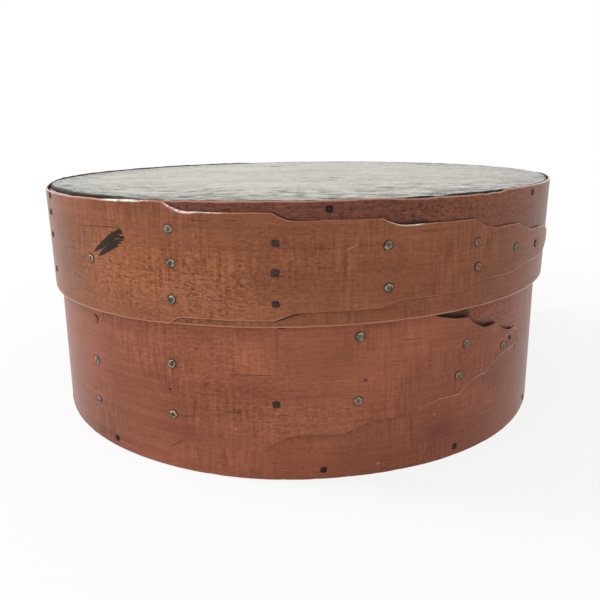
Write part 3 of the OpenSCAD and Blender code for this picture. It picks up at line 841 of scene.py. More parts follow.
class Finish:
    """A material or world being built. Each method adds a node and gives back its output. A plain number or
    colour given in place of an output is set on the socket itself."""

    def __init__(self, name, kind="materials"):
        self.owner = getattr(bpy.data, kind).new(name)
        self.owner.use_nodes = True
        self.tree = self.owner.node_tree
        self.tree.nodes.clear()

    def node(self, kind, feeds, **settings):
        """A new node with these settings, and each socket linked to an output or set to a value."""
        made = self.tree.nodes.new("ShaderNode" + kind)
        for key, value in settings.items():
            setattr(made, key, value)
        for key, value in feeds.items():
            socket = made.inputs[key]
            if isinstance(value, bpy.types.NodeSocket):
                self.tree.links.new(value, socket)
            elif hasattr(value, "__len__") and len(value) == 3 and len(socket.default_value) == 4:
                socket.default_value = (*value, 1)
            else:
                socket.default_value = value
        return made

    def attr(self, name, part="Fac"):
        return self.node("Attribute", {}, attribute_name=name).outputs[part]

    def coords(self):
        return self.node("TexCoord", {}).outputs["Object"]

    def math(self, operation, a, b=0.0, c=0.0):
        return self.node("Math", {0: a, 1: b, 2: c}, operation=operation).outputs[0]

    def times(self, a, b):
        return self.math("MULTIPLY", a, b)

    def plus(self, a, b):
        return self.math("ADD", a, b)

    def less(self, a, b):
        return self.math("SUBTRACT", a, b)

    def times_plus(self, a, b, c):
        """a times b, plus c."""
        return self.math("MULTIPLY_ADD", a, b, c)

    def distance(self, x, y):
        """Distance from the origin, the root of x² + y²."""
        return self.math("SQRT", self.plus(self.times(x, x), self.times(y, y)))

    def split(self, vector):
        return self.node("SeparateXYZ", {0: vector}).outputs

    def step(self, value, low, high, to_low=0.0, to_high=1.0):
        """Eased change from to_low at low to to_high at high, held outside."""
        made = self.node("MapRange", {"Value": value, "From Min": low, "From Max": high, "To Min": to_low,
                                      "To Max": to_high}, interpolation_type="SMOOTHSTEP")
        return made.outputs["Result"]

    def noise(self, where, stretch, detail, rough, warp=0.0):
        """Noise whose features are 1 / stretch metres along each axis."""
        scaled = self.node("VectorMath", {0: where, 1: stretch}, operation="MULTIPLY").outputs[0]
        made = self.node("TexNoise", {"Vector": scaled, "Scale": 1.0, "Detail": detail, "Roughness": rough,
                                      "Distortion": warp})
        return made.outputs[0]

    def total(self, base, *terms):
        """base plus each weight times (value less a half)."""
        level = base - 0.5 * sum(weight for weight, _ in terms)
        for weight, value in terms:
            level = self.times_plus(value, weight, level)
        return level

    def ramp(self, value, *stops):
        """Colour by value, blended between stops of position and colour."""
        made = self.node("ValToRGB", {0: value})
        band = made.color_ramp
        band.elements.remove(band.elements[1])
        band.elements[0].position = stops[0][0]
        band.elements[0].color = (*stops[0][1], 1)
        for position, colour in stops[1:]:
            band.elements.new(position).color = (*colour, 1)
        return made.outputs[0]

    def mix(self, share, a, b, blend="MIX"):
        """a with a share of b over it, or blended with it."""
        made = self.node("Mix", {0: share, 6: a, 7: b}, data_type="RGBA", blend_type=blend)
        return made.outputs[2]

    def bump(self, height, strength, distance):
        return self.node("Bump", {"Height": height, "Strength": strength, "Distance": distance}).outputs[0]

    def surface(self, colour, roughness, normal, **sockets):
        """The finished material. Underscores stand for spaces in the names of the shader's other sockets."""
        feeds = {"Base Color": colour, "Roughness": roughness, "Normal": normal}
        feeds.update({key.replace("_", " "): value for key, value in sockets.items()})
        shader = self.node("BsdfPrincipled", feeds)
        self.node("OutputMaterial", {"Surface": shader.outputs[0]})
        return self.owner


def shade(colour, *factors):
    """A colour with each channel times a factor."""
    factors = factors * 3 if len(factors) == 1 else factors
    return tuple(c * k for c, k in zip(colour, factors))


def leaf(f, spot, foot, head, half, rise, fall):
    """Distance from the middle line of a leaf-shaped mark, in units of its half width there. Along the
    leaf, s runs from 0 at the foot to 1 at the head, and the width is s^rise (1 - s)^fall, scaled so that
    its most is the half width. Past either end all is far. Also gives s."""
    widest = rise / (rise + fall)
    scale = half / (widest ** rise * (1 - widest) ** fall)
    run = np.subtract(head, foot)
    length = float(np.hypot(*run))
    du, dz = f.less(spot[0], foot[0]), f.less(spot[1], foot[1])
    s = f.plus(f.times(du, run[0] / length ** 2), f.times(dz, run[1] / length ** 2))
    t = f.less(f.times(dz, run[0] / length), f.times(du, run[1] / length))
    held = f.node("Clamp", {0: s, 1: 0.0001, 2: 0.9999}).outputs[0]
    swell = f.times(f.math("POWER", held, rise), f.math("POWER", f.less(1.0, held), fall))
    off = f.math("DIVIDE", f.math("ABSOLUTE", t), f.times(swell, scale))
    past = f.math("ABSOLUTE", f.less(s, held))
    return f.times_plus(past, 50.0, off), s


def inked(f, along, stain):
    """Share of charcoal in the leaves of a stain: ragged towards their heads, and thin in streaks."""
    spot = f.split(f.attr("place", "Vector"))
    (first, s), (second, _) = (leaf(f, spot, *shape) for shape in stain)
    teeth = f.noise(f.attr("place", "Vector"), (0.25, 2.1, 1), 2, 0.5)
    ragged = f.times(f.less(teeth, 0.5), f.step(s, 0.5, 0.95, 0.6, 5.0))
    off = f.plus(f.math("MINIMUM", first, second), ragged)
    thin = f.noise(along, (260, 1600, 7), 2, 0.6)
    return f.times(f.step(off, 1.18, 0.88), f.step(thin, 0.3, 0.42, 0.72, 0.95))


def bent_wood(name, wood, colours, purple_and_shade, stain=()):
    """Satin red-brown wood of a band. Grain runs along the strip, planer chatter crosses it in patches, and
    the finish has crumbled into flecks. Edges are rubbed, some with a painted highlight, creases are darkened
    by soiling and painted shade, and the inside is bare."""
    f = Finish(name)
    worn_edge, bare_wood, soot = colours.worn_edge[:], colours.bare_wood[:], colours.grime_and_shade[:]
    along = f.attr("along", "Vector")
    edge, above, crease, inside, patch, figure, seat = (
        f.attr(k) for k in ("edge", "above", "crease", "inside", "patch", "figure", "seat"))
    outside = f.less(1.0, inside)

    # Grain, chatter and crumbled finish
    grain = f.noise(along, (11, 330, 7), 6, 0.66, 0.5)
    fine = f.noise(along, (90, 1700, 7), 3, 0.6)
    blotch = f.noise(along, (17, 30, 7), 4, 0.6, 0.4)
    ribs = f.noise(along, (680, 66, 7), 3, 0.66, 0.25)
    ribbed = f.step(f.noise(along, (30, 44, 7), 2, 0.5), 0.4, 0.64, 0.08, 0.9)
    chatter = f.times_plus(f.less(ribs, 0.5), f.times_plus(figure, 0.4, ribbed), 0.5)
    crumbs = f.noise(along, (520, 1150, 7), 3, 0.72, 0.6)
    spoilt = f.times_plus(above, 1.1, f.plus(figure, 0.2))
    crumbled = f.times_plus(f.less(crumbs, 0.44), spoilt, 0.5)
    tone = f.total(0.5, (0.36, grain), (0.32, fine), (0.95, chatter), (0.5, blotch), (1.8, crumbled))
    colour = f.ramp(tone, (0.2, shade(wood, 0.52, 0.46, 0.45)), (0.5, wood),
                    (0.8, shade(wood, 1.55, 1.62, 1.55)))
    flecks = f.noise(along, (170, 1900, 7), 2, 0.5)
    dashes = f.times(f.step(flecks, 0.69, 0.77), 0.5)
    colour = f.mix(dashes, colour, shade(wood, 0.35, 0.3, 0.35))

    # Broad patches, the scratched layer above the tongue, and the stain
    colour = f.mix(f.step(patch, 0.02, 0.9), colour, (1.4, 1.38, 1.15), "MULTIPLY")
    colour = f.mix(f.step(patch, -0.02, -0.9), colour, (0.62, 0.6, 0.8), "MULTIPLY")
    # Darker, purpler layer above the tongue; on the box its share is painted shade under the lid's edge
    colour = f.mix(f.times(above, purple_and_shade), colour, (0.5, 0.48, 0.66), "MULTIPLY")
    scratch = f.times(f.step(f.noise(along, (75, 2500, 7), 2, 0.5), 0.62, 0.72, 0.0, 0.45), above)
    colour = f.mix(scratch, colour, worn_edge)
    if stain:
        colour = f.mix(inked(f, along, stain), colour, colours.stain[:])

    # Rings of soiling and painted shade round what is driven through
    fix = f.split(f.attr("fix", "Vector"))
    beyond = f.times_plus(fine, 0.4, f.less(f.distance(fix[0], fix[1]), fix[2]))
    ring = f.times(f.step(beyond, 0.6, 0.25, 0.0, 0.85), outside)
    halo = f.times(f.step(beyond, 1.7, 0.3, 0.0, 0.25), outside)
    colour = f.mix(halo, colour, shade(wood, 0.45, 0.36, 0.5))
    colour = f.mix(ring, colour, soot)

    # Cracks, dents and pale scrapes
    mark = f.split(f.attr("mark", "Vector"))
    ragged = f.times_plus(fine, 1.2, -0.6)
    far = f.math("SQRT", f.plus(f.math("POWER", f.math("ABSOLUTE", mark[0]), 4.0),
                                f.math("POWER", f.math("ABSOLUTE", mark[1]), 2.0)))
    hit = f.times(f.step(f.plus(far, ragged), 1.5, 0.5), outside)
    cracked = f.times(hit, f.step(mark[2], 0.0, -1.0, 0.0, 0.85))
    colour = f.mix(cracked, colour, soot)
    colour = f.mix(f.times(hit, f.step(mark[2], 0.0, 1.0, 0.0, 0.7)), colour, worn_edge)

    # Soiling and painted shade in creases, and edges rubbed down to paler wood
    grime_and_shade = f.step(f.times_plus(blotch, 0.7, crease), 1.0, 0.4, 0.0, 0.9)
    colour = f.mix(f.times(grime_and_shade, outside), colour, soot)
    rub = f.noise(along, (60, 90, 7), 3, 0.6)
    wear = f.step(f.times_plus(rub, 0.9, edge), 0.95, 0.5)
    colour = f.mix(f.times(wear, 0.75), colour, worn_edge)
    # Painted highlight: near-white glints on the listed rubbed edges, broken into patches
    patchy = f.step(f.noise(along, (260, 420, 7), 3, 0.6), 0.4, 0.54)
    pale = f.times(f.times(wear, patchy), f.attr("bright"))
    colour = f.mix(pale, colour, shade(worn_edge, 1.6, 3.7, 6.2))

    # Bare inside, dirty where a board sits
    bare_tone = f.total(0.5, (0.9, grain), (0.5, fine), (0.9, blotch), (0.3, chatter))
    bare = f.ramp(bare_tone, (0.15, shade(bare_wood, 0.5, 0.45, 0.42)), (0.5, bare_wood),
                  (0.85, shade(bare_wood, 1.35)))
    bare = f.mix(f.times(seat, 0.8), bare, soot)
    colour = f.mix(inside, colour, bare)

    roughness = f.total(0.43, (0.12, fine), (0.16, blotch), (0.2, crumbled), (-0.2, wear), (0.4, inside))
    height = f.total(0.5, (0.6, chatter), (0.3, fine), (0.35, grain), (0.7, crumbled), (-0.5, dashes),
                     (-0.9, cracked))
    polish = f.times(f.times(wear, outside), f.step(rub, 0.35, 0.6, 0.2, 0.8))
    return f.surface(colour, roughness, f.bump(height, 0.4, 0.0003), Specular_IOR_Level=0.1,
                     Coat_Weight=polish, Coat_Roughness=0.18, Sheen_Weight=0.07, Sheen_Roughness=0.25)


def board_wood(name, colours):
    """Weathered grey-brown board: grain that flows along X and round the knots under a worn, mottled skin
    that is greyer and rougher towards the rim, with painted shade in its hollows and painted light on its
    rises, brown knots, and a black edge of soiling and painted shadow of the gap at the band. Its underside
    is bare."""
    f = Finish(name)
    grey, bare_wood = colours.board_grey[:], colours.bare_wood[:]
    where, flow = f.coords(), f.attr("flow", "Vector")
    rim, knot, pit, shaded_hollow = f.attr("rim"), f.attr("knot"), f.attr("pit"), f.attr("shaded_hollow")
    rings = f.noise(flow, (2.4, 210, 60), 4, 0.6, 0.1)
    long_grain = f.noise(flow, (14, 620, 60), 5, 0.6, 0.1)
    fine = f.noise(flow, (70, 1900, 60), 3, 0.6)
    mottle = f.noise(where, (105, 190, 60), 5, 0.68, 0.4)
    blotch = f.noise(where, (16, 22, 20), 3, 0.55)
    wrinkle = f.noise(where, (170, 130, 60), 4, 0.72, 0.9)
    tone = f.total(0.5, (1.2, long_grain), (0.8, fine), (1.5, mottle), (1.0, blotch), (1.0, wrinkle),
                   (1.9, rings))
    colour = f.ramp(tone, (0.1, shade(grey, 0.55, 0.53, 0.5)), (0.5, grey),
                    (0.9, shade(grey, 1.28, 1.29, 1.3)))
    # Painted shade in the skin's hollows and painted light on its rises
    colour = f.mix(f.step(shaded_hollow, 0.1, 0.62, 0.0, 0.8), colour, shade(grey, 0.27, 0.26, 0.245))
    colour = f.mix(f.step(shaded_hollow, -0.12, -0.6, 0.0, 0.8), colour, shade(grey, 1.4, 1.42, 1.46))
    wash = f.step(f.times_plus(mottle, 18.0, rim), 34.0, 8.0, 0.0, 0.75)
    colour = f.mix(wash, colour, (0.62, 0.68, 0.8), "MULTIPLY")
    colour = f.mix(f.times(knot, 0.9), colour, shade(bare_wood, 0.4, 0.36, 0.36))
    # Dark pits; at the torn slivers the dark is painted shade
    colour = f.mix(f.times(pit, 0.85), colour, shade(grey, 0.14, 0.13, 0.12))
    # Soiling and painted shadow of the gap at the band: a dark band at the rim, widest at the front and left,
    # and the board's side painted black
    dirt_and_gap_shade = f.step(f.times_plus(mottle, 0.7, f.attr("dirt_shade_reach")), 1.6, 1.1, 0.0, 0.95)
    dirt_and_gap_shade = f.math("MAXIMUM", dirt_and_gap_shade, f.step(rim, 0.42, 0.3))
    colour = f.mix(dirt_and_gap_shade, colour, shade(grey, 0.07, 0.06, 0.055))
    bare = f.ramp(tone, (0.15, shade(bare_wood, 0.5)), (0.5, bare_wood), (0.85, shade(bare_wood, 1.3)))
    colour = f.mix(f.attr("under"), colour, bare)
    roughness = f.total(0.5, (0.25, fine), (0.4, mottle), (0.25, pit), (0.3, dirt_and_gap_shade))
    height = f.total(0.5, (0.7, long_grain), (0.5, fine), (0.7, mottle), (0.8, wrinkle), (0.6, rings))
    return f.surface(colour, roughness, f.bump(height, 0.5, 0.0006), Specular_IOR_Level=0.08)


def base_wood(name, wood):
    """Dry brown base board with straight grain along X and a darker rub round its underside."""
    f = Finish(name)
    where = f.coords()
    long_grain = f.noise(where, (7, 260, 40), 5, 0.6, 0.2)
    fine = f.noise(where, (40, 1500, 60), 3, 0.6)
    blotch = f.noise(where, (18, 18, 18), 3, 0.55)
    saw = f.noise(where, (420, 12, 20), 2, 0.5)
    tone = f.total(0.5, (0.8, long_grain), (0.4, fine), (0.6, blotch), (0.2, saw))
    colour = f.ramp(tone, (0.15, shade(wood, 0.45, 0.42, 0.4)), (0.5, wood),
                    (0.85, shade(wood, 1.35, 1.35, 1.3)))
    rubbed = f.step(f.times_plus(blotch, 8.0, f.attr("rim")), 12.0, 2.0, 0.0, 0.6)
    colour = f.mix(rubbed, colour, shade(wood, 0.4, 0.37, 0.36))
    roughness = f.total(0.7, (0.2, fine), (0.15, blotch))
    height = f.total(0.5, (0.6, long_grain), (0.5, fine), (0.3, saw))
    return f.surface(colour, roughness, f.bump(height, 0.45, 0.0003), Specular_IOR_Level=0.3)


def tarnished_tin(name, colours):
    """Dull tack metal: olive grey, blotched dark in the middle, and pale in patches round its rim, partly
    rubbed and partly painted highlight, with a painted shadow round its edge. A column may be darker all
    over, or reddened by stain that was brushed over it."""
    f = Finish(name)
    where = f.coords()
    rad, each = f.attr("rad"), f.attr("each")
    tin, dark = colours.tack_tin[:], colours.tack_dark[:]
    cloud = f.noise(where, (720, 720, 720), 3, 0.66)
    pits = f.noise(where, (1700, 1700, 1700), 2, 0.6)
    tone = f.total(0.5, (1.5, cloud), (1.0, pits))
    colour = f.ramp(tone, (0.15, dark), (0.5, shade(tin, 0.8)), (0.85, shade(tin, 1.7, 1.65, 1.5)))
    core = f.step(f.times_plus(cloud, 1.8, rad), 1.8, 1.25)
    core = f.times(core, f.step(each, 0.1, 0.9, 0.6, 0.95))
    colour = f.mix(core, colour, dark)
    # Pale patches round the rim: partly rubbed metal, partly painted highlight
    rubbed = f.times(f.step(rad, 0.62, 0.84), f.step(cloud, 0.42, 0.6, 0.0, 0.85))
    colour = f.mix(rubbed, colour, shade(tin, 1.85, 1.76, 1.5))
    # Painted shadow round the head's edge
    colour = f.mix(f.step(rad, 0.96, 1.03, 0.0, 0.85), colour, dark)
    colour = f.mix(f.times(f.attr("dull"), 0.75), colour, shade(tin, 0.3))
    colour = f.mix(f.attr("reddened"), colour, colours.lid_wood[:])
    roughness = f.total(0.5, (0.3, cloud), (0.2, pits))
    height = f.total(0.5, (0.8, cloud), (0.8, pits))
    return f.surface(colour, roughness, f.bump(height, 0.7, 0.0002), Metallic=0.15, Specular_IOR_Level=0.3)


def black_iron(name, iron):
    """Dark oxidised iron, pitted, with a touch of rust."""
    f = Finish(name)
    where = f.coords()
    cloud = f.noise(where, (700, 700, 700), 3, 0.6)
    pits = f.noise(where, (2400, 2400, 2400), 2, 0.6)
    tone = f.total(0.5, (0.7, cloud), (0.5, pits), (0.2, f.attr("each")))
    colour = f.ramp(tone, (0.2, shade(iron, 0.45)), (0.5, iron), (0.8, shade(iron, 2.2, 2.0, 1.9)))
    roughness = f.total(0.6, (0.3, cloud))
    normal = f.bump(f.total(0.5, (0.6, cloud), (0.6, pits)), 0.6, 0.00015)
    return f.surface(colour, roughness, normal, Specular_IOR_Level=0.25)


def peg_end(name, wood):
    """Dark end grain of a peg, darker round its sides with painted shade of the gap round it."""
    f = Finish(name)
    rings = f.noise(f.coords(), (1500, 1500, 1500), 3, 0.6)
    colour = f.ramp(rings, (0.3, shade(wood, 0.4)), (0.55, wood), (0.8, shade(wood, 2.2)))
    # Painted shade of the gap round the peg
    colour = f.mix(f.step(f.attr("rad"), 0.7, 1.0, 0.0, 0.8), colour, shade(wood, 0.3))
    roughness = f.total(0.7, (0.3, rings))
    return f.surface(colour, roughness, f.bump(rings, 0.6, 0.0002), Specular_IOR_Level=0.15)


def length_prop(name, description, default):
    return FloatProperty(name=name, description=description, default=default, min=0.0, unit="LENGTH",
                         precision=5)


def colour_prop(name, description, default):
    return FloatVectorProperty(name=name, description=description, default=default, min=0.0, max=1.0, size=3,
                               subtype="COLOR")


class PantrySizes(bpy.types.PropertyGroup):
    """Sizes of the box that a user would change."""

    box_band: length_prop("Box band", "Thickness of the box band where it is single", 0.0018)
    box_lap: length_prop("Box lap", "Thickness of each end of the box band where they lap", 0.0012)
    lid_band: length_prop("Lid band", "Thickness of the lid band where it is single", 0.0014)
    lid_lap: length_prop("Lid lap", "Thickness of each end of the lid band where they lap", 0.00095)
    rim_skew: length_prop("Rim skew", "Drop of the lid's edge at the left, and its rise at the right", 0.002)
    ply_gap: length_prop("Lap gap", "Gap between the two layers of a lap", 0.0001)
    board_gap: length_prop("Board gap", "Gap between a board and its band", 0.00025)
    edge_round: length_prop("Edge rounding", "Radius of a worn outer edge of a band", 0.00048)
    board_round: length_prop("Board rounding", "Radius of the worn upper edge of the lid board", 0.0004)
    tack_head: length_prop("Tack head", "Diameter of a tack's head", 0.003)
    tack_rise: length_prop("Tack rise", "Height of a tack's head above the band", 0.0003)
    tack_shank: length_prop("Tack shank", "Diameter of a tack's shank", 0.0011)
    brad_head: length_prop("Brad head", "Diameter of the small brad's head", 0.0016)
    nail_wide: length_prop("Nail width", "Width of a cut nail's head", 0.0027)
    nail_tall: length_prop("Nail height", "Height of a cut nail's head", 0.0023)
    nail_rise: length_prop("Nail rise", "How far a cut nail's head stands out of the band", 0.00015)
    nail_shank: length_prop("Nail shank", "Side of a cut nail's shank", 0.0012)
    clinch: length_prop("Clinch", "Length of a point bent over inside the box", 0.0028)
    peg_wide: length_prop("Peg width", "Side of a square peg", 0.0022)
    peg_long: length_prop("Peg length", "Length of a peg", 0.014)


class PantryColours(bpy.types.PropertyGroup):
    """Colours of the finishes."""

    box_wood: colour_prop("Box wood", "Stained outside of the box band", (0.24, 0.0785, 0.0445))
    lid_wood: colour_prop("Lid wood", "Stained outside of the lid band", (0.22, 0.077, 0.039))
    worn_edge: colour_prop("Worn edge", "Rubbed edges of the bands", (0.5, 0.195, 0.105))
    bare_wood: colour_prop("Bare wood", "Unfinished inside of the bands", (0.33, 0.19, 0.1))
    # This colour also paints the shade in creases, under the lid's edge and round what is driven through
    grime_and_shade: colour_prop("Grime", "Dirt in creases and cracks", (0.022, 0.011, 0.009))
    stain: colour_prop("Stain", "Charcoal stain on the lid", (0.0125, 0.0115, 0.0105))
    board_grey: colour_prop("Board grey", "Weathered top of the lid board", (0.435, 0.405, 0.338))
    base_wood: colour_prop("Base wood", "Base board", (0.27, 0.16, 0.085))
    tack_tin: colour_prop("Tack tin", "Tarnished tacks", (0.25, 0.23, 0.165))
    tack_dark: colour_prop("Tack dark", "Dark middle of a tack", (0.03, 0.026, 0.022))
    nail_iron: colour_prop("Nail iron", "Cut nails and the brad", (0.03, 0.014, 0.014))
    peg_wood: colour_prop("Peg wood", "Ends of the pegs", (0.014, 0.009, 0.008))
    floor: colour_prop("Floor", "Pale floor", (0.86, 0.86, 0.86))


def lap_spots(strip, columns):
    """Angle, height and outer radius of every fastener of these columns."""
    return [strip.on_lap(end, back, share) for _, end, places in columns for back, share in places]


def peg_height(board):
    """Height of the pegs in a board, at their share of its thickness."""
    low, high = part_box(board)
    return (low[2] + PEGS_UP[board] * (high[2] - low[2])) * MM


def band_fixings(strip, tacks, nails, brads, pegs, board, sizes):
    """Rows of angle, height and half width of all that is driven through a band. Soiling and painted shade
    encircle a tack closely, and hardly show round a square head."""
    kinds = ((tacks, sizes.tack_head / 2), (nails, sizes.nail_tall / 3), (brads, sizes.brad_head / 2))
    rows = [(a, z, half * MM) for columns, half in kinds for a, z, _ in lap_spots(strip, columns)]
    peg_z, peg_half = peg_height(board), sizes.peg_wide * MM * strip.peg_ring
    rows += [(float(round_angle(a)), peg_z, peg_half) for a in pegs]
    return np.array(rows)


class PantryOperator(bpy.types.Operator):
    """Shared options of the operators below."""

    bl_options = {"REGISTER", "UNDO"}


class PANTRY_OT_box_band(PantryOperator):
    """Bend the box band, with its stepped tongue, sprung edges and worn rim"""

    bl_idname = "pantry.box_band"
    bl_label = "Box band"

    def execute(self, context):
        sizes, colours = context.scene.pantry_sizes, context.scene.pantry_colours
        strip = BoxStrip(sizes)
        fixings = band_fixings(strip, BOX_TACKS, BOX_NAILS, BOX_BRADS, BASE_PEGS_AT, "base_board", sizes)
        parts = Bend(strip, sizes.edge_round * MM, fixings).parts()
        # On the box the darker layer above the tongue is painted shade under the lid's edge
        finish = bent_wood("box_band_satin", colours.box_wood[:], colours, purple_and_shade=0.25)
        piece = lay_mesh("bent_box_band", *parts, finish, sharp_ends=True)
        hand_over(piece, "box", "box_band_wood", "box_band")
        return {"FINISHED"}


class PANTRY_OT_lid_band(PantryOperator):
    """Bend the lid band, with its stepped tongue, chipped rim and feathered stain"""

    bl_idname = "pantry.lid_band"
    bl_label = "Lid band"

    def execute(self, context):
        sizes, colours = context.scene.pantry_sizes, context.scene.pantry_colours
        strip = LidStrip(sizes)
        fixings = band_fixings(strip, LID_TACKS, LID_NAILS, (), LID_PEGS_AT, "lid_board", sizes)
        parts = Bend(strip, sizes.edge_round * MM, fixings).parts()
        arc = np.radians(1) * strip.in_r
        stain = [((foot * arc, low), (head * arc, high), *form)
                 for foot, low, head, high, *form in STAIN_LEAVES]
        finish = bent_wood("lid_band_satin", colours.lid_wood[:], colours, purple_and_shade=0.95, stain=stain)
        piece = lay_mesh("bent_lid_band", *parts, finish, sharp_ends=True)
        hand_over(piece, "lid", "lid_band_wood", "lid_band")
        return {"FINISHED"}


def bell(x, y, middle_x, middle_y, half_x, half_y):
    """Round bell exp(-dx² - dy²) over a board, of its own half widths."""
    return np.exp(-((x - middle_x) / half_x) ** 2 - ((y - middle_y) / half_y) ** 2)


class PANTRY_OT_lid_board(PantryOperator):
    """Turn the lid board, with raised weathered grain and a worn edge darkened by soiling and painted shadow
    """

    bl_idname = "pantry.lid_board"
    bl_label = "Lid board"

    def execute(self, context):
        sizes, colours = context.scene.pantry_sizes, context.scene.pantry_colours
        box = np.array(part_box("lid_board")) * MM
        radius, low, top = box[1, 0], box[0, 2], box[1, 2]
        reach = lambda angle: radius + hand_bent(angle) - 0.1
        profile = board_profile(low, top, rings=150, under_rings=12, edge=sizes.board_round * MM)
        verts, quads, fans = turned_board(reach, profile, around=560)
        x, y, z = verts.T
        angle = np.degrees(np.arctan2(x, -y))
        rim = radius - np.hypot(x, y)
        upper = z > low + 0.5 * (top - low)

        # Grain lines run along X and swing aside round the knots
        line, knot = y + 5 * np.sin(x / 95 + 0.4), 0 * x
        for kx, ky, size in KNOTS:
            line = line + 0.5 * (y - ky) * bell(x, y, kx, ky, 2.5 * size, size)
            knot = np.maximum(knot, bell(x, y, kx, ky, 0.48 * size, 0.7 * size))
        ridge = relief(x / 40, line / 2.2, 2)

        # The skin is worn into low hollows, deeper and pitted near the rim, though calm round the back
        worn = relief(x / 11, y / 8, 4)
        near_rim = np.exp(-(rim / 16) ** 2)
        pit = soft((relief(x / 5 + 40, y / 2.2, 3) - 0.45) / 0.25) * near_rim
        for tx, ty, half in TEARS:
            pit = np.maximum(pit, np.exp(-((x - tx) / half) ** 4 - ((y - ty) / 1.8) ** 2))
        rough = 0.22 + 0.78 * np.exp(-(rim / 38) ** 2) * soft((80 - np.abs(angle)) / 45)
        shaded_hollow = rough * relief(x / 4.4 + 90, y / 2.5 + 90, 4)
        calm = 1 - 0.8 * near_rim * soft((np.abs(angle) - 75) / 30)

        # The board sits lowest at the back left
        sunk = 0.4 * soft((50 - np.abs(round_angle(angle + 130))) / 20) * np.exp(-(rim / 30) ** 2)
        dip = 0.04 + 0.06 * unit(0.5 + ridge) + sunk
        dip = dip + calm * ((0.14 + 0.1 * near_rim) * unit(0.4 + worn) + 0.2 * pit)
        dip = dip + 0.22 * unit(0.3 * rough + shaded_hollow)
        verts[:, 2] = z - np.where(upper, dip * unit((z - low) / (top - low) * 2 - 1), 0)

        rim = np.where(upper, rim, 30)
        # The dark edge of soiling and painted shadow is widest at the front and at the left
        dark_band_width = 0.8 + 0.9 * near(angle, 0, 60) + 2.2 * near(angle, -47, 26)
        attributes = {
            "rim": rim, "dirt_shade_reach": rim / dark_band_width, "knot": knot * upper, "shaded_hollow": shaded_hollow * upper,
            "pit": pit * upper, "under": np.where(z < low + 2, 1.0, 0.0),
            "flow": np.stack([x, line, 0 * x], axis=-1) / MM,
        }
        finish = board_wood("lid_board_weathered", colours)
        piece = lay_mesh("weathered_lid_board", verts, quads, fans, attributes, finish)
        hand_over(piece, "lid", "lid_board_wood", "lid_board")
        return {"FINISHED"}


class PANTRY_OT_base_board(PantryOperator):
    """Turn the base board, dry inside and rubbed underneath"""

    bl_idname = "pantry.base_board"
    bl_label = "Base board"

    def execute(self, context):
        sizes, colours = context.scene.pantry_sizes, context.scene.pantry_colours
        box = np.array(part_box("base_board")) * MM
        radius, low, top = box[1, 0], box[0, 2], box[1, 2]
        radius = radius + BoxStrip(sizes).flare(top)
        reach = lambda angle: radius + hand_bent(angle)
        profile = board_profile(low, top, rings=60, under_rings=40, edge=BASE_ROUND)
        verts, quads, fans = turned_board(reach, profile, around=240)
        x, y, z = verts.T
        rim = radius - np.hypot(x, y)
        # Both faces are worn a little along the grain, and the edge is left alone
        cup = 0.12 * unit(0.4 + relief(x / 70, y / 4, 2))
        middle = (low + top) / 2
        inward = np.sign(middle - z) * unit(np.abs(z - middle) / (top - middle) * 4 - 3)
        verts[:, 2] = z + inward * cup
        finish = base_wood("base_board_dry", colours.base_wood[:])
        piece = lay_mesh("dry_base_board", verts, quads, fans, {"rim": rim}, finish)
        hand_over(piece, "box", "base_board_wood", "base_board")
        return {"FINISHED"}


class PANTRY_OT_pegs(PantryOperator):
    """Drive the square wooden pegs that hold the boards in their bands"""

    bl_idname = "pantry.pegs"
    bl_label = "Pegs"

    def execute(self, context):
        sizes, colours = context.scene.pantry_sizes, context.scene.pantry_colours
        finish = peg_end("peg_end_grain", colours.peg_wood[:])
        path = peg_path(sizes.peg_wide * MM / 2, sizes.peg_long * MM)
        sets = (("base_pegs", "box", BoxStrip(sizes), "base_board", BASE_PEGS_AT, 51),
                ("lid_board_pegs", "lid", LidStrip(sizes), "lid_board", LID_PEGS_AT, 52))
        for node, body, strip, board, angles, seed in sets:
            z = peg_height(board)
            spots = [(a, z, strip.face(float(round_angle(a)), z)) for a in angles]
            rng = np.random.default_rng(seed)
            parts = set_fixings(spots, path, around=16, power=7, rng=rng, spin=0.08, tilt=0.01)
            piece = lay_mesh("worn_" + node, *parts, finish)
            hand_over(piece, body, "peg_wood", node)
        return {"FINISHED"}


# A kind of fastener: its slot, the start of its pieces' names, points round it, power of its outline, the
# most that it is turned at random, and its finish
Fastener = namedtuple("Fastener", "slot prefix around power spin finish")
# Turn of a round head, about half a turn either way, and tilt of any head
ANY_WAY, HEAD_TILT = 3.1, 0.03
# Flattening and share of length of a point that is clinched inside the box or flush inside the lid
CLINCHED, FLUSH = (0.6, 1.0), (0.12, 0.7)


def drive_columns(strip, columns, body, kind, path, seed):
    """One object for each column of like fasteners, in place of its node."""
    for k, column in enumerate(columns):
        node = column[0]
        spots, tone = lap_spots(strip, (column,)), TACK_TONES.get(node, (0, 0))
        rng = np.random.default_rng(seed + k)
        parts = set_fixings(spots, path, kind.around, kind.power, rng, kind.spin, HEAD_TILT, tone)
        piece = lay_mesh(kind.prefix + node, *parts, kind.finish)
        hand_over(piece, body, kind.slot, node)


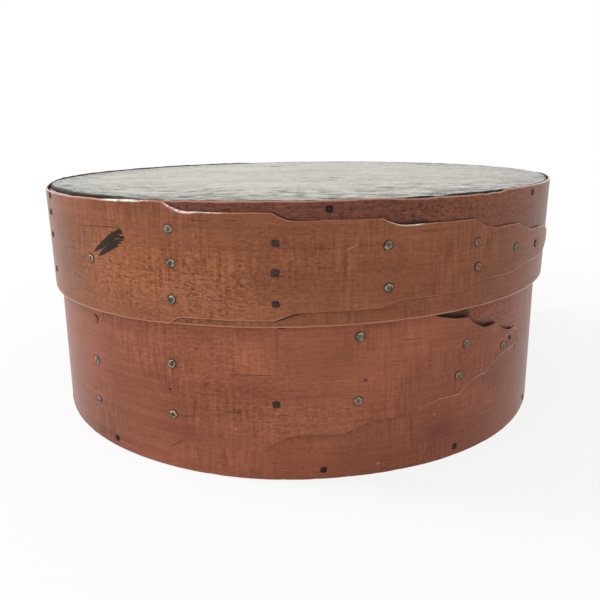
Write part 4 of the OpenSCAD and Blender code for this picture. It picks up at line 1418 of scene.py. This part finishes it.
class PANTRY_OT_tacks(PantryOperator):
    """Drive the tacks of both laps, clinched inside the box and flush inside the lid"""

    bl_idname = "pantry.tacks"
    bl_label = "Tacks"

    def execute(self, context):
        sizes, colours = context.scene.pantry_sizes, context.scene.pantry_colours
        finish = tarnished_tin("tack_tarnished", colours)
        tack = Fastener("tack_metal", "tarnished_", around=24, power=2, spin=ANY_WAY, finish=finish)
        half, rise, shank = sizes.tack_head * MM / 2, sizes.tack_rise * MM, sizes.tack_shank * MM / 2
        sets = ((BoxStrip(sizes), BOX_TACKS, "box", CLINCHED, 100),
                (LidStrip(sizes), LID_TACKS, "lid", FLUSH, 120))
        for strip, columns, body, (flat, length), seed in sets:
            clinch = sizes.clinch * MM * length
            path = driven_path(half, half, rise, sunk=0.12, crown=0.72, shank=shank, depth=strip.lap_depth(),
                               clinch=clinch, flat=flat)
            drive_columns(strip, columns, body, tack, path, seed)
        return {"FINISHED"}


class PANTRY_OT_nails(PantryOperator):
    """Drive the square cut nails of both laps and the small brad by the box's tip"""

    bl_idname = "pantry.nails"
    bl_label = "Cut nails and brad"

    def execute(self, context):
        sizes, colours = context.scene.pantry_sizes, context.scene.pantry_colours
        finish = black_iron("nail_black_iron", colours.nail_iron[:])
        nail = Fastener("nail_iron", "black_", around=32, power=8, spin=0.12, finish=finish)
        brad = Fastener("nail_iron", "black_", around=20, power=2, spin=ANY_WAY, finish=finish)
        box, lid, rise = BoxStrip(sizes), LidStrip(sizes), sizes.nail_rise * MM
        # Half width and half height of the head, its rise, how far it is sunk, its crown, and half the shank
        nail_half, nail_tall = sizes.nail_wide * MM / 2, sizes.nail_tall * MM / 2
        nail_head = (nail_half, nail_tall, rise, 0.3, 0.86, sizes.nail_shank * MM / 2)
        brad_half = sizes.brad_head * MM / 2
        brad_head = (brad_half, brad_half, rise, 0.2, 0.8, sizes.tack_shank * MM / 2)
        sets = ((box, BOX_NAILS, "box", nail, nail_head, CLINCHED, 140),
                (lid, LID_NAILS, "lid", nail, nail_head, FLUSH, 150),
                (box, BOX_BRADS, "box", brad, brad_head, CLINCHED, 160))
        for strip, columns, body, kind, head, (flat, length), seed in sets:
            path = driven_path(*head, strip.lap_depth(), sizes.clinch * MM * length, flat)
            drive_columns(strip, columns, body, kind, path, seed)
        return {"FINISHED"}


def seen_by_eye(f):
    """1 for rays from the camera, for reflections and for rays through glass, and 0 for light on surfaces."""
    rays = f.node("LightPath", {}).outputs
    reflected = f.math("MAXIMUM", rays["Is Camera Ray"], rays["Is Glossy Ray"])
    return f.math("MAXIMUM", reflected, rays["Is Transmission Ray"])


def white_world(light):
    """Even light from all round, and plain white behind the box."""
    f = Finish("studio_white", "worlds")
    glow = f.node("Background", {"Color": (1, 1, 1), "Strength": light})
    white = f.node("Background", {"Color": (1, 1, 1), "Strength": 1.0})
    blend = f.node("MixShader", {0: seen_by_eye(f), 1: glow.outputs[0], 2: white.outputs[0]})
    f.node("OutputWorld", {"Surface": blend.outputs[0]})
    return f.owner


def pale_floor(colour):
    """Matt pale floor that keeps the box's soft shadow and fades to plain white away from it."""
    f = Finish("floor_pale")
    x, y, _ = f.split(f.coords())
    grain = f.noise(f.coords(), (60, 60, 60), 2, 0.5)
    matt = f.node("BsdfDiffuse", {"Color": f.mix(grain, shade(colour, 0.985), colour)})
    white = f.node("Emission", {"Color": (1, 1, 1), "Strength": 1.0})
    share = f.times(seen_by_eye(f), f.step(f.distance(x, y), 0.12, 0.5, 0.82, 1.0))
    blend = f.node("MixShader", {0: share, 1: matt.outputs[0], 2: white.outputs[0]})
    f.node("OutputMaterial", {"Surface": blend.outputs[0]})
    return f.owner


def stand_up(thing, right, up, back, at):
    """Put a lamp or camera in the scene by its right, up and back directions and its place."""
    stand = np.eye(4)
    stand[:3] = np.stack([right, up, back, at], axis=1)
    thing.matrix_world = Matrix(stand.tolist())
    bpy.context.scene.collection.objects.link(thing)


def soft_lamp(name, power, size, at, towards):
    """Square area lamp at a point, facing another."""
    lamp = bpy.data.lights.new(name, "AREA")
    lamp.energy, lamp.size = power, size
    back = np.array(at, float) - np.array(towards, float)
    back /= np.linalg.norm(back)
    right = np.cross((0, 0, 1), back)
    right /= np.linalg.norm(right)
    stand_up(bpy.data.objects.new(name, lamp), right, np.cross(back, right), back, at)


class PANTRY_OT_stage(PantryOperator):
    """Set the pale floor, the soft lamps, the white surround and the camera"""

    bl_idname = "pantry.stage"
    bl_label = "Stage"

    def execute(self, context):
        scene = context.scene
        edge = np.linspace(-FLOOR_HALF, FLOOR_HALF, FLOOR_POINTS)
        x, y = np.meshgrid(edge, edge, indexing="ij")
        verts = np.stack([x, y, 0 * x - FLOOR_DROP], axis=-1).reshape(-1, 3)
        faces = grid_faces(np.arange(x.size).reshape(x.shape), False)[:, ::-1]
        mesh = bpy.data.meshes.new("floor")
        mesh.from_pydata(verts.tolist(), [], faces.tolist())
        mesh.materials.append(pale_floor(scene.pantry_colours.floor[:]))
        floor = bpy.data.objects.new("floor", mesh)
        scene.collection.objects.link(floor)
        scene.world = white_world(SURROUND_LIGHT)
        for lamp in LAMPS:
            soft_lamp(*lamp, LAMPS_FACE)

        camera = bpy.data.cameras.new("camera")
        camera.sensor_width, camera.lens, camera.clip_start = SENSOR_WIDTH, LENS, NEAR_CLIP
        camera.shift_x, camera.shift_y = SHIFT_X, SHIFT_Y
        scene.camera = bpy.data.objects.new("camera", camera)
        stand_up(scene.camera, *CAMERA_STAND)
        scene.view_settings.view_transform = "Standard"
        return {"FINISHED"}


class PANTRY_PT_panel(bpy.types.Panel):
    """Sidebar list of the pieces, sizes and colours"""

    bl_idname = "PANTRY_PT_panel"
    bl_label = "Pantry box"
    bl_space_type = "VIEW_3D"
    bl_region_type = "UI"
    bl_category = "Pantry box"

    def draw(self, context):
        for operator in OPERATORS:
            self.layout.operator(operator.bl_idname, text=operator.bl_label)
        for group in (context.scene.pantry_sizes, context.scene.pantry_colours):
            for name in group.__annotations__:
                self.layout.prop(group, name)


OPERATORS = (
    PANTRY_OT_stage, PANTRY_OT_box_band, PANTRY_OT_base_board, PANTRY_OT_lid_band, PANTRY_OT_lid_board,
    PANTRY_OT_pegs, PANTRY_OT_tacks, PANTRY_OT_nails,
)
CLASSES = (PantrySizes, PantryColours, *OPERATORS, PANTRY_PT_panel)


def register():
    for cls in CLASSES:
        bpy.utils.register_class(cls)
    bpy.types.Scene.pantry_sizes = PointerProperty(type=PantrySizes)
    bpy.types.Scene.pantry_colours = PointerProperty(type=PantryColours)


def unregister():
    del bpy.types.Scene.pantry_colours
    del bpy.types.Scene.pantry_sizes
    for cls in reversed(CLASSES):
        bpy.utils.unregister_class(cls)


def main():
    register()
    bpy.ops.pantry.stage()
    bpy.ops.pantry.box_band()
    bpy.ops.pantry.base_board()
    bpy.ops.pantry.lid_band()
    bpy.ops.pantry.lid_board()
    bpy.ops.pantry.pegs()
    bpy.ops.pantry.tacks()
    bpy.ops.pantry.nails()


if __name__ == "__main__":
    main()
